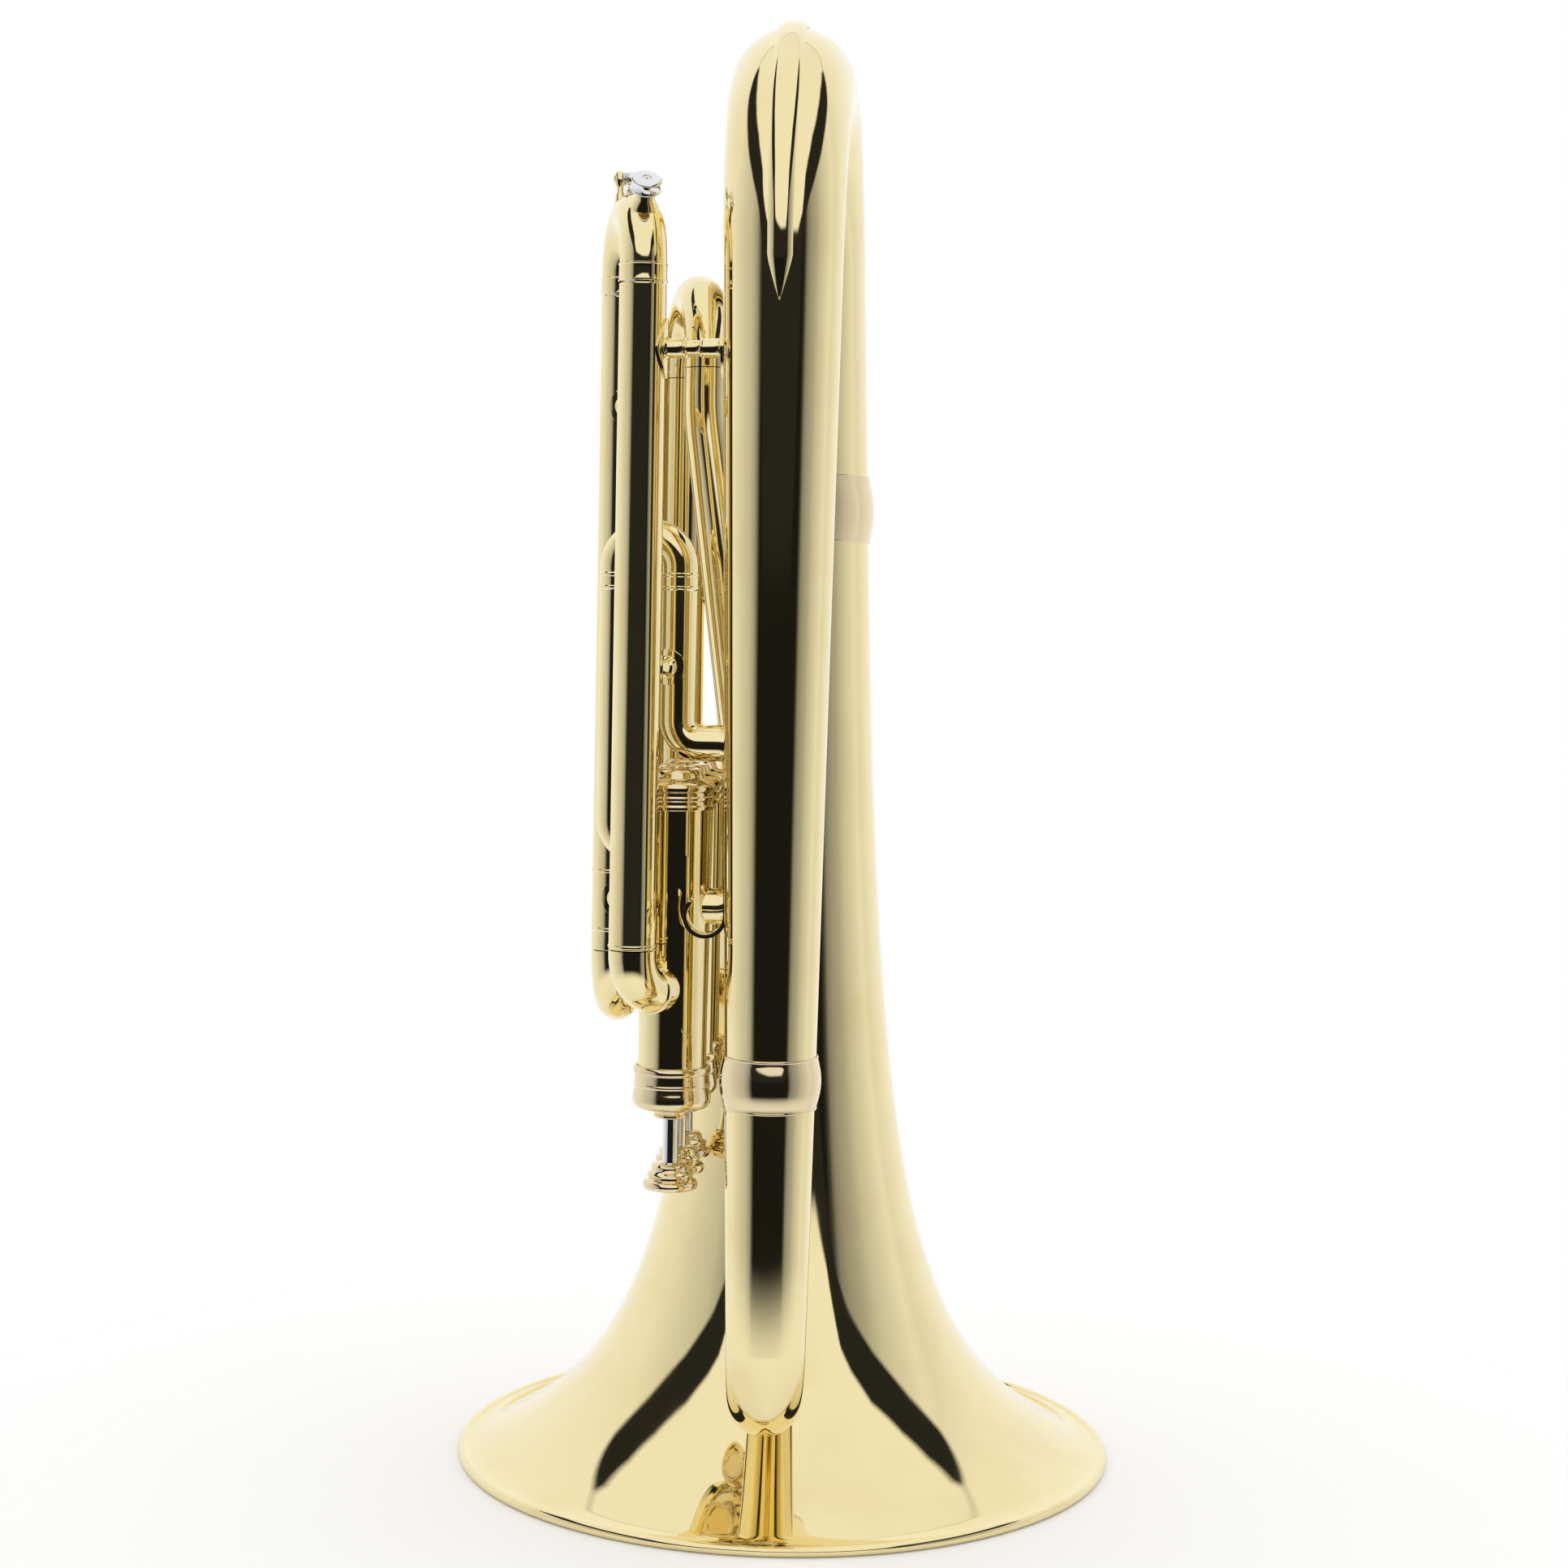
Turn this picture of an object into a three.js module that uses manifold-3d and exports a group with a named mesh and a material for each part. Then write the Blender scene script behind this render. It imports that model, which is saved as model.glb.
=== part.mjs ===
// A three-valve baritone horn standing on the rim of its bell, in millimetres, +Z up.
// The origin is under the middle of the footprint, on the surface that the bell stands on.
import * as THREE from 'three'
import { mergeVertices } from 'three/addons/utils/BufferGeometryUtils.js'
import Module from 'manifold-3d'

const wasm = await Module()
wasm.setup()

// Clearances and metal
const gap = 0.3 // between two pieces that touch or slide
const wall = 0.9 // drawn tube wall
const overrun = 2 // how far a cut runs past the face it leaves

// Bell, a horn curve that opens towards the rim
const bell = {
  throat: 16.9,
  reach: 103.6,
  lead: 42.6,
  power: 1.07,
  wall: 1,
  bead: 1.8,
  flat: 0.3,
  top: 350,
}
const bellHeightShares = [0.007, 0.013, 0.023, 0.04, 0.069, 0.114, 0.189, 0.314, 0.543]
const bellRadius = (z) => bell.throat + bell.reach * (bell.lead / (z + bell.lead)) ** bell.power
const bellFerrule = { low: 338, high: 363, swell: 1.3, edge: 0.5, thick: 0.7 }

// Valves, in a row that runs back from the camera side and clears the bell
const valve = { x: -35, clear: 1.46, pitch: 28, low: 146, length: 108, radius: 11.6, bore: 9.4 }
const topCap = { under: 2.5, over: 12, radius: 13.4, lip: 2.2, hole: 3.2 }
const bottomCap = { under: 9, over: 5, radius: 12.9, crown: 9 }
const piston = { start: 15, length: 63, radius: 9.05, hollow: 6.4 }
const stem = { radius: 2.75 }
const button = { drop: 21, thick: 9, radius: 9.3 }
const buttonShares = [
  [0, 0.13],
  [0.75, 0.13],
  [0.83, 0],
  [1, 0.16],
  [1, 0.33],
  [0.75, 0.47],
  [0.75, 0.67],
  [0.45, 0.89],
  [0.425, 1],
  [0, 1],
]
const valveSpring = { radius: 7.6, wall: 1.1 }
const stroke = 14.5
const valveHigh = valve.low + valve.length
const farOut = bellRadius(valve.low - topCap.under) + topCap.radius + valve.clear
const farY = -Math.sqrt(farOut ** 2 - valve.x ** 2)
const nearY = farY - 2 * valve.pitch

// Main branch: over the big bow from the bell and down the front
const branch = { ahead: 29, springing: 432, bowStart: 24.2, bowEnd: 19.9, end: 158, endRadius: 15 }
const branchReach = branch.ahead - nearY
const frontFerrule = { low: 149.5, high: 167, swell: 1, edge: 0.4, thick: 0.6 }
const smallBow = { centre: 71, width: 45, end: 11, shift: -3, top: 104 }
const returnTop = { x: -29.4, ahead: 22, z: 397.6, radius: 8.2 }
const returnWaist = { x: -12, ahead: 31, z: 262 }
const returnFerrule = { low: 96, high: 112, swell: 0.8, edge: 0.4, thick: 0.6 }
const guard = { thick: 0.8, width: 8, middle: 10, crown: 1.2, tail: 19, point: 14 }
const guardLaneShares = [-1, -0.5, 0, 0.5, 1]
const guardTipShare = 0.06

// Main tuning slide: two sleeves and a bow that pulls out of them
const slideA = { x: -47, behind: -21, low: 199.5, high: 421 }
const slideB = { x: -58, behind: 22, low: 194, high: 421 }
const mainTube = {
  sleeve: 7.9, leg: 6.75, insert: 90, ferrule: 8.3, ferruleLength: 6.5, ease: 1.2, arch: 17.5,
}
const mainCrook = { bend: 13, rise: 39 }
const leadpipe = { bend: 19, run: 174, end: 62, radius: 5.6 }
const receiver = { length: 58, radius: 7.6, bore: 5.2, overlap: 10, stop: 14, ring: 5, edge: 0.6, flare: 1 }

// Valve slides, their ports by height above the casings' top caps
const slideTube = { sleeve: 6.2, leg: 5.1, insert: 24, rise: 6 }
const first = { x: -56, backX: -35, over: 13.5, length: 51.5, port: 86, returnX: -13, returnPort: 66 }
const firstBend = { left: 9, right: 7.6 }
const firstLow = valveHigh + first.over
const firstHigh = firstLow + first.length
const second = { port: 44, rise: 21, length: 14, turn: 2.3, insert: 10, radius: 5.6, leg: 4.35, joint: 2.5 }
const third = { leftX: -61, leftBehind: 2, rightX: -57, rightBehind: 27, high: 400, port: 80, rightPort: 59 }
const thirdBend = { left: 10, right: 11, insert: 60 }
const output = { x: -41.4, behind: 27, port: 88, bend: 13 }
const knuckle = { port: 50, step: -20, radius: 6.4, wall: 1.2 }

// Stays and the hook
const stay = { radius: 3.3, foot: 6, footThick: 1.6, sink: 3, collar: 2.7, collarHalf: 1.9, taper: 0.6 }
const stayPlace = { main: 21.7, upper: 38.5, bell: 18, leadY: 22, leadRise: 12, bellY: 8 }
const hook = { radius: 7.4, thick: 1.4, width: 9, z: 212, rise: 16, back: 4 }

// Water key on the main slide bow
const waterKey = { nipple: 3.3, nippleBase: 4.6, nippleHigh: 6, cup: 5.2, cupHigh: 4.2, arm: 3.4 }
const keyPin = { radius: 1.2, length: 13, post: 14 }
const keyPost = { foot: 1.5, head: 2.1, root: 2.5, above: 2.4, spread: 1 }
const keyCork = { thick: 1.6, margin: 0.6 }
const keyCup = { lip: 0.6, edge: 1, under: 1.2, grip: 0.4 }
const keyLever = { hub: 2.6, hubInset: 1.6, neck: 2.6, tail: 3, thick: 1.8, reach: 19 }
const keyTab = { width: 9, thick: 1.6, reach: 20 }

// Numbers of sides and steps
const sides = { bell: 36, big: 20, middle: 14, small: 10, tiny: 8 }
const bowSteps = { big: 12, middle: 8, small: 6 }
const bendSteps = 3
const ease = 2 // straight run between a ring and the bow that follows it

const brass = new THREE.MeshStandardMaterial({ color: 0xd9b65a, metalness: 1, roughness: 0.18 })
const goldBrass = new THREE.MeshStandardMaterial({ color: 0xd29a4e, metalness: 1, roughness: 0.2 })
const nickel = new THREE.MeshStandardMaterial({ color: 0xc9ccd2, metalness: 1, roughness: 0.2 })
const steel = new THREE.MeshStandardMaterial({ color: 0x9a9a9a, metalness: 1, roughness: 0.35 })
const cork = new THREE.MeshStandardMaterial({ color: 0x9c7347, metalness: 0, roughness: 0.9 })

const horn = new THREE.Group()
const V = (x, y, z) => new THREE.Vector3(x, y, z)

// A closed mesh with shared corners, its faces pointing out
const closed = (geometry) => {
  geometry.deleteAttribute('normal')
  geometry.deleteAttribute('uv')
  const merged = mergeVertices(geometry, 1e-4)
  const p = merged.attributes.position
  const at = (i) => new THREE.Vector3().fromBufferAttribute(p, i)
  const index = []
  let volume = 0
  for (let i = 0; i < merged.index.count; i += 3) {
    const [a, b, c] = [0, 1, 2].map((k) => merged.index.getX(i + k))
    if (a === b || b === c || c === a) continue
    index.push(a, b, c)
    volume += at(a).dot(at(b).cross(at(c)))
  }
  if (volume < 0) {
    for (let i = 0; i < index.length; i += 3) [index[i], index[i + 1]] = [index[i + 1], index[i]]
  }
  merged.setIndex(index)
  return merged
}

const solid = (geometry) => {
  const g = closed(geometry)
  const vertProperties = new Float32Array(g.attributes.position.array)
  const triVerts = new Uint32Array(g.index.array)
  return new wasm.Manifold(new wasm.Mesh({ numProp: 3, vertProperties, triVerts }))
}

// A join can leave a sliver of a hollow inside: only the outer skin is kept
const skinOf = (manifold) => wasm.Manifold.union(manifold.decompose().filter((piece) => piece.volume() > 0))

const geometryOf = (manifold) => {
  const mesh = skinOf(manifold).getMesh()
  const g = new THREE.BufferGeometry()
  g.setAttribute('position', new THREE.BufferAttribute(new Float32Array(mesh.vertProperties), 3))
  g.setIndex(new THREE.BufferAttribute(new Uint32Array(mesh.triVerts), 1))
  return g
}

const add = (name, shape, material) => {
  const geometry = shape.isBufferGeometry ? closed(shape) : geometryOf(shape)
  const mesh = new THREE.Mesh(geometry, material)
  mesh.name = name
  horn.add(mesh)
}

const lift = (v, dz) => v.clone().add(V(0, 0, dz))

// A turned piece about the Z axis from [radius, height] points
const turned = (profile, count = sides.small) => {
  const points = profile.map(([r, z]) => new THREE.Vector2(r, z))
  return new THREE.LatheGeometry(points, count).rotateX(Math.PI / 2)
}
const turnedLoop = (profile, count) => turned([...profile, profile[0]], count)

// The same turned piece laid along a line from one point towards another
const laid = (geometry, from, towards) => {
  const way = towards.clone().sub(from).normalize()
  const turn = new THREE.Quaternion().setFromUnitVectors(V(0, 0, 1), way)
  return geometry.applyQuaternion(turn).translate(from.x, from.y, from.z)
}

// Points along straight runs joined by round bends
const bentRoute = (corners, bend) => {
  const points = [corners[0]]
  for (let i = 1; i < corners.length - 1; i++) {
    const before = corners[i - 1].clone().sub(corners[i]).normalize()
    const after = corners[i + 1].clone().sub(corners[i]).normalize()
    const half = before.angleTo(after) / 2
    const inset = bend / Math.tan(half)
    const middle = before.clone().add(after).normalize()
    const centre = corners[i].clone().addScaledVector(middle, bend / Math.sin(half))
    const start = corners[i].clone().addScaledVector(before, inset).sub(centre)
    const axis = start.clone().cross(corners[i].clone().addScaledVector(after, inset).sub(centre)).normalize()
    for (let k = 0; k <= bendSteps; k++) {
      const angle = ((Math.PI - 2 * half) * k) / bendSteps
      points.push(centre.clone().add(start.clone().applyAxisAngle(axis, angle)))
    }
  }
  points.push(corners.at(-1))
  return points
}

// Points over a half round from one leg to the other, rising or falling with up,
// as high as it is wide or to its arch
const bowRoute = (from, to, up, steps, arch) => {
  const centre = from.clone().add(to).multiplyScalar(0.5)
  const half = from.clone().sub(centre)
  const rise = V(0, 0, up * (arch ?? half.length()))
  const points = []
  for (let k = 0; k <= steps; k++) {
    const angle = (Math.PI * k) / steps
    points.push(centre.clone().addScaledVector(half, Math.cos(angle)).addScaledVector(rise, Math.sin(angle)))
  }
  return points
}

// A pipe along points, whose outer radii are listed or follow the share of length travelled
const pipe = (points, radiusAt, thickness, count = sides.small) => {
  const travelled = [0]
  for (let i = 1; i < points.length; i++) {
    travelled.push(travelled[i - 1] + points[i].distanceTo(points[i - 1]))
  }
  const total = travelled.at(-1)
  const tangents = points.map((p, i) => {
    const ahead = i < points.length - 1 ? points[i + 1].clone().sub(p).normalize() : V(0, 0, 0)
    const behind = i > 0 ? p.clone().sub(points[i - 1]).normalize() : V(0, 0, 0)
    return ahead.add(behind).normalize()
  })
  const aside = Math.abs(tangents[0].x) < 0.9 ? V(1, 0, 0) : V(0, 1, 0)
  let normal = aside.sub(tangents[0].clone().multiplyScalar(aside.dot(tangents[0]))).normalize()
  const corners = []
  const ring = (inset) => (i) => {
    const side = tangents[i].clone().cross(frames[i])
    const r = (Array.isArray(radiusAt) ? radiusAt[i] : radiusAt(travelled[i] / total)) - inset
    for (let k = 0; k < count; k++) {
      const a = (2 * Math.PI * k) / count
      const out = points[i].clone().addScaledVector(frames[i], r * Math.cos(a))
      const p = out.addScaledVector(side, r * Math.sin(a))
      corners.push(p.x, p.y, p.z)
    }
  }
  const frames = tangents.map((t, i) => {
    if (i > 0) {
      const turn = new THREE.Quaternion().setFromUnitVectors(tangents[i - 1], t)
      normal = normal.clone().applyQuaternion(turn)
      normal.addScaledVector(t, -normal.dot(t)).normalize()
    }
    return normal
  })
  const last = points.length - 1
  points.forEach((_, i) => ring(0)(i))
  const index = []
  const strip = (a, b) => {
    for (let k = 0; k < count; k++) {
      const n = (k + 1) % count
      index.push(a + k, a + n, b + n, a + k, b + n, b + k)
    }
  }
  for (let i = 0; i < last; i++) strip(i * count, (i + 1) * count)
  if (thickness > 0) {
    points.forEach((_, i) => ring(thickness)(i))
    const inner = points.length * count
    for (let i = 0; i < last; i++) strip(inner + (i + 1) * count, inner + i * count)
    strip(last * count, inner + last * count)
    strip(inner, 0)
  } else {
    const middle = points.length * count
    corners.push(...points[0].toArray(), ...points[last].toArray())
    for (let k = 0; k < count; k++) {
      const n = (k + 1) % count
      index.push(middle, k + 0, n, middle + 1, last * count + n, last * count + k)
    }
    for (let k = index.length - 6 * count; k < index.length; k += 6) {
      ;[index[k + 1], index[k + 2]] = [index[k + 2], index[k + 1]]
      ;[index[k + 4], index[k + 5]] = [index[k + 5], index[k + 4]]
    }
  }
  const g = new THREE.BufferGeometry()
  g.setAttribute('position', new THREE.Float32BufferAttribute(corners, 3))
  g.setIndex(index)
  return g
}

const even = (radius) => () => radius
const between = (a, b) => (t) => a + (b - a) * t

// Rings that step a pipe from its leg to its ferrule and on to its bow
const stepped = (leg, ferrule, tube, insert, up) => [
  [-insert, leg],
  [gap / 2, leg],
  [gap, ferrule],
  [up, ferrule],
  [up + gap, tube],
  [up + ease, tube],
]
const steppedBow = (a, b, steps, bow, way = V(0, 0, 1)) => {
  const climb = (p) => steps.map(([rise, radius]) => [p.clone().addScaledVector(way, rise), radius])
  const tube = steps.at(-1)[1]
  return [...climb(a), ...bow.slice(1, -1).map((p) => [p, tube]), ...climb(b).reverse()]
}
const pipeOf = (rows, thickness, count) => (
  pipe(rows.map(([p]) => p), rows.map(([, r]) => r), thickness, count)
)

// A swelled ring round a pipe that is straight there, from the pipe's radius at each end
const ferruleAt = (x, y, f, lowRadius, highRadius, count = sides.big) => {
  const middle = (lowRadius + highRadius) / 2
  const half = (f.low + f.high) / 2
  const fit = (r) => (r + gap) / Math.cos(Math.PI / count)
  const widest = fit(Math.max(lowRadius, highRadius))
  const profile = [
    [widest, f.low],
    [fit(lowRadius) + f.thick + f.edge, f.low],
    [fit(middle) + f.thick + f.swell, half],
    [fit(highRadius) + f.thick + f.edge, f.high],
    [widest, f.high],
  ]
  return turnedLoop(profile, count).translate(x, y, 0)
}

// Bell
const bellHeights = bellHeightShares.map((share) => share * bell.top)
const bellSheet = [...bellHeights, bell.top - gap / 2]
const outside = bellSheet.map((z) => [bellRadius(z), z])
const inside = bellSheet.map((z) => [bellRadius(z) - bell.wall, z])
const beadCentre = [bellRadius(0) - bell.bead, bell.bead - bell.flat]
const beadPoints = []
for (let k = 0; k <= 7; k++) {
  const a = Math.PI * 0.8 - (k / 7) * Math.PI * 1.7
  const z = Math.max(0, beadCentre[1] + bell.bead * Math.sin(a))
  beadPoints.push([beadCentre[0] + bell.bead * Math.cos(a), z])
}
add('bell', turnedLoop([...outside.reverse(), ...beadPoints, ...inside], sides.bell), brass)
const bellRing = ferruleAt(
  0, 0, bellFerrule, bellRadius(bellFerrule.low), bellRadius(bellFerrule.high), sides.bell,
)
add('bell_ferrule', bellRing, goldBrass)

// Main branch over the big bow
const bellTop = V(0, 0, bell.top + gap / 2)
const bowA = V(0, 0, branch.springing)
const bowB = V(0, -branchReach, branch.springing)
const branchEnd = V(0, -branchReach, branch.end + gap / 2)
const branchPoints = [bellTop, ...bowRoute(bowA, bowB, 1, bowSteps.big), branchEnd]
const straightUp = branch.springing - bell.top
const overBow = (Math.PI * branchReach) / 2
const straightDown = branch.springing - branch.end
const branchLength = straightUp + overBow + straightDown
const branchRadius = (t) => {
  const s = t * branchLength
  const stepsOf = [
    [0, bellRadius(bell.top)],
    [straightUp, branch.bowStart],
    [straightUp + overBow, branch.bowEnd],
    [branchLength, branch.endRadius],
  ]
  for (let i = 1; i < stepsOf.length; i++) {
    const [s0, r0] = stepsOf[i - 1]
    const [s1, r1] = stepsOf[i]
    if (s <= s1 || i === stepsOf.length - 1) return r0 + ((r1 - r0) * (s - s0)) / (s1 - s0)
  }
}
add('main_branch', pipe(branchPoints, branchRadius, wall, sides.big), brass)
const branchRadiusAt = (z) => {
  const share = (branch.springing - z) / straightDown
  return branch.bowEnd + (branch.endRadius - branch.bowEnd) * share
}
const smallDown = branch.end - smallBow.centre
const smallLength = smallDown + (Math.PI * smallBow.width) / 2 + smallBow.top - smallBow.centre
const smallRadius = between(branch.endRadius, smallBow.end)
const frontLow = smallRadius((branch.end - frontFerrule.low) / smallLength)
const frontRing = ferruleAt(
  0, -branchReach, frontFerrule, frontLow, branchRadiusAt(frontFerrule.high),
)
add('front_ferrule', frontRing, goldBrass)

// Small bow at the foot of the front branch and the return branch behind it
const footX = smallBow.shift
const footY = -branchReach + smallBow.width
const smallPoints = [
  V(0, -branchReach, branch.end - gap / 2),
  ...bowRoute(V(0, -branchReach, smallBow.centre), V(footX, footY, smallBow.centre), -1, bowSteps.middle),
  V(footX, footY, smallBow.top - gap / 2),
]
add('small_bow', pipe(smallPoints, smallRadius, wall, sides.middle), brass)
const returnFoot = V(footX, footY, smallBow.top + gap / 2)
const returnHead = V(returnTop.x, farY - returnTop.ahead, returnTop.z)
const returnRing = ferruleAt(
  footX, footY, returnFerrule, smallBow.end, smallBow.end, sides.middle,
)
add('return_ferrule', returnRing, goldBrass)
const returnBend = V(footX, footY, returnFerrule.high + returnTop.radius)
const returnKnee = lift(returnHead, -2 * returnTop.radius)
const returnMiddle = V(returnWaist.x, farY - returnWaist.ahead, returnWaist.z)
const returnPoints = [returnFoot, returnBend, returnMiddle, returnKnee, lift(returnHead, -gap / 2)]
add('return_branch', pipe(returnPoints, between(smallBow.end, returnTop.radius), wall, sides.middle), brass)

// Return bow and the output leg down to the far valve
const valveAt = (i) => V(valve.x, nearY + i * valve.pitch, 0)
const farValve = valveAt(2)
const outAt = (z) => V(output.x, farY + output.behind, z)
const portAt = (v, rise) => v.clone().setZ(valve.low + rise)
const outTop = outAt(returnTop.z)
const returnBowPoints = [
  lift(returnHead, gap / 2),
  ...bowRoute(lift(returnHead, ease), lift(outTop, ease), 1, bowSteps.middle),
  lift(outTop, gap / 2),
]
add('return_bow', pipe(returnBowPoints, even(returnTop.radius), wall, sides.middle), brass)
const outPort = portAt(farValve, output.port)
const outFoot = portAt(outTop, output.port)
const towardsOut = outFoot.clone().sub(outPort).normalize()
const outEnd = outPort.clone().addScaledVector(towardsOut, valve.radius + gap)
const outputPoints = bentRoute([lift(outTop, -gap / 2), outFoot, outEnd], output.bend)
add('output_leg', pipe(outputPoints, even(returnTop.radius), wall, sides.middle), brass)

// Bow guard: a convex strip along the outside of the big bow that ends in two points
const guardBand = () => {
  const arc = Math.PI * (branchReach / 2 + branch.bowStart)
  const total = 2 * guard.tail + arc
  const bowRows = [...Array(bowSteps.big + 1).keys()].map((k) => guard.tail + (arc * k) / bowSteps.big)
  const rows = [0, guard.point, ...bowRows, total - guard.point, total]
  const corners = []
  const index = []
  const place = (s, lane, out) => {
    const end = Math.min(1, Math.min(s, total - s) / guard.point)
    const crown = guard.crown * end * (1 - lane ** 2)
    const turn = Math.min(Math.PI, Math.max(0, ((s - guard.tail) / arc) * Math.PI))
    const width = guard.width + (guard.middle - guard.width) * Math.sin(turn)
    const half = (width / 2) * Math.max(guardTipShare, end)
    const r = branch.bowStart + (branch.bowEnd - branch.bowStart) * (turn / Math.PI) + gap * 2
    const base = V(0, (branchReach / 2) * (Math.cos(turn) - 1), branch.springing)
    base.z += (branchReach / 2) * Math.sin(turn) - Math.max(0, guard.tail - s, s - (total - guard.tail))
    const away = V(0, Math.cos(turn), Math.sin(turn))
    const angle = (lane * half) / r
    const radius = r + (out ? guard.thick + crown : 0)
    return base.addScaledVector(away, radius * Math.cos(angle)).add(V(radius * Math.sin(angle), 0, 0))
  }
  for (const s of rows) {
    for (const lane of guardLaneShares) corners.push(...place(s, lane, true).toArray())
    for (const lane of guardLaneShares) corners.push(...place(s, lane, false).toArray())
  }
  const wide = guardLaneShares.length
  const ringSize = 2 * wide
  const loop = [...guardLaneShares.keys(), ...[...guardLaneShares.keys()].reverse().map((k) => k + wide)]
  const last = rows.length - 1
  for (let row = 0; row < last; row++) {
    for (let k = 0; k < loop.length; k++) {
      const [a, b] = [loop[k] + row * ringSize, loop[(k + 1) % loop.length] + row * ringSize]
      index.push(a, b, b + ringSize, a, b + ringSize, a + ringSize)
    }
  }
  for (let k = 0; k < wide - 1; k++) {
    const end = last * ringSize
    index.push(k, k + wide, k + 1, k + 1, k + wide, k + wide + 1)
    index.push(end + k, end + k + 1, end + k + wide, end + k + 1, end + k + wide + 1, end + k + wide)
  }
  const g = new THREE.BufferGeometry()
  g.setAttribute('position', new THREE.Float32BufferAttribute(corners, 3))
  g.setIndex(index)
  return g
}
add('bow_guard', guardBand(), brass)

// Valves
const namesOf = ['first', 'second', 'third']
namesOf.forEach((name, i) => {
  const { x, y } = valveAt(i)
  const place = (g) => g.translate(x, y, 0)
  const casing = [
    [valve.bore, valve.low], [valve.radius, valve.low], [valve.radius, valveHigh], [valve.bore, valveHigh],
  ]
  add(`${name}_casing`, place(turnedLoop(casing, sides.middle)), brass)
  const capInner = valve.radius + gap
  const capLow = valve.low - topCap.under
  const capHigh = valve.low + topCap.over
  const capProfile = [
    [topCap.hole, capLow],
    [topCap.radius - topCap.lip, capLow],
    [topCap.radius, capLow + topCap.lip],
    [topCap.radius - gap, capHigh - topCap.lip],
    [topCap.radius - 2 * gap, capHigh],
    [capInner, capHigh],
    [capInner, valve.low - gap],
    [topCap.hole, valve.low - gap],
  ]
  add(`${name}_top_cap`, place(turnedLoop(capProfile, sides.middle)), goldBrass)
  const vent = topCap.hole
  const endProfile = [
    [vent, valveHigh + gap],
    [capInner, valveHigh + gap],
    [capInner, valveHigh - bottomCap.under],
    [bottomCap.radius, valveHigh - bottomCap.under],
    [bottomCap.radius + gap, valveHigh - bottomCap.under + topCap.lip],
    [bottomCap.radius, valveHigh + gap],
    [bottomCap.crown, valveHigh + bottomCap.over],
    [vent, valveHigh + bottomCap.over],
  ]
  add(`${name}_bottom_cap`, place(turnedLoop(endProfile, sides.middle)), goldBrass)
  const pistonLow = valve.low + piston.start
  const pistonHigh = pistonLow + piston.length
  const body = [
    [0, pistonLow],
    [piston.radius, pistonLow],
    [piston.radius, pistonHigh],
    [piston.hollow, pistonHigh],
    [piston.hollow, pistonLow + stroke],
    [0, pistonLow + stroke],
  ]
  add(`${name}_piston`, place(turned(body, sides.middle)), nickel)
  const buttonHigh = valve.low - button.drop
  const [rodLow, rodHigh] = [buttonHigh + gap, pistonLow - gap]
  const rod = [[0, rodLow], [stem.radius, rodLow], [stem.radius, rodHigh], [0, rodHigh]]
  add(`${name}_stem`, place(turned(rod, sides.tiny)), nickel)
  const top = buttonShares.map(([out, up]) => [button.radius * out, buttonHigh - button.thick * (1 - up)])
  add(`${name}_button`, place(turned(top, sides.middle)), brass)
  const springLow = pistonHigh + gap
  const coil = [
    [valveSpring.radius - valveSpring.wall, springLow],
    [valveSpring.radius, springLow],
    [valveSpring.radius, valveHigh],
    [valveSpring.radius - valveSpring.wall, valveHigh],
  ]
  add(`${name}_valve_spring`, place(turnedLoop(coil, sides.tiny)), steel)
})

// What a tube that meets a casing is cut to
const casingRound = (i) => solid(turned(
  [
    [0, valve.low - overrun], [valve.radius + gap, valve.low - overrun],
    [valve.radius + gap, valveHigh], [0, valveHigh],
  ],
  sides.middle,
).translate(valveAt(i).x, valveAt(i).y, 0))

// Short tubes that join one casing to the next
for (const i of [0, 1]) {
  const port = knuckle.port + i * knuckle.step
  const start = portAt(valveAt(i), port).add(V(0, valve.radius - overrun, 0))
  const end = portAt(valveAt(i + 1), port).add(V(0, overrun - valve.radius, 0))
  const tube = solid(pipe([start, end], even(knuckle.radius), knuckle.wall, sides.small))
  add(`${namesOf[i]}_knuckle`, tube.subtract(casingRound(i)).subtract(casingRound(i + 1)), brass)
}

// Sleeves, rings and the bow of the main tuning slide
const slideAt = (s, z) => V(s.x, nearY + s.behind, z)
const legTop = (s) => slideAt(s, s.high + mainTube.ferruleLength)
const sleeveOf = (name, s) => {
  const points = [slideAt(s, s.low + gap / 2), slideAt(s, s.high - gap / 2)]
  add(name, pipe(points, even(mainTube.sleeve), wall, sides.middle), brass)
}
sleeveOf('front_slide_sleeve', slideA)
sleeveOf('rear_slide_sleeve', slideB)
const legOf = (name, s) => {
  const points = [slideAt(s, s.high - mainTube.insert), lift(legTop(s), -gap)]
  add(name, pipe(points, even(mainTube.leg - gap), wall, sides.small), nickel)
}
legOf('front_slide_leg', slideA)
legOf('rear_slide_leg', slideB)
const bowSpring = (slide) => lift(legTop(slide), mainTube.ease)
const slideBowPoints = bowRoute(bowSpring(slideA), bowSpring(slideB), 1, bowSteps.middle, mainTube.arch)
const bowRings = [
  [gap - mainTube.ferruleLength, mainTube.ferrule],
  [0, mainTube.ferrule],
  [gap, mainTube.sleeve],
  [mainTube.ease, mainTube.sleeve],
]
const bowCentre = bowSpring(slideA).add(bowSpring(slideB)).multiplyScalar(0.5)
const bowSpan = legTop(slideA).distanceTo(legTop(slideB)) / 2
const bowAway = legTop(slideA).sub(legTop(slideB)).normalize()

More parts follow.
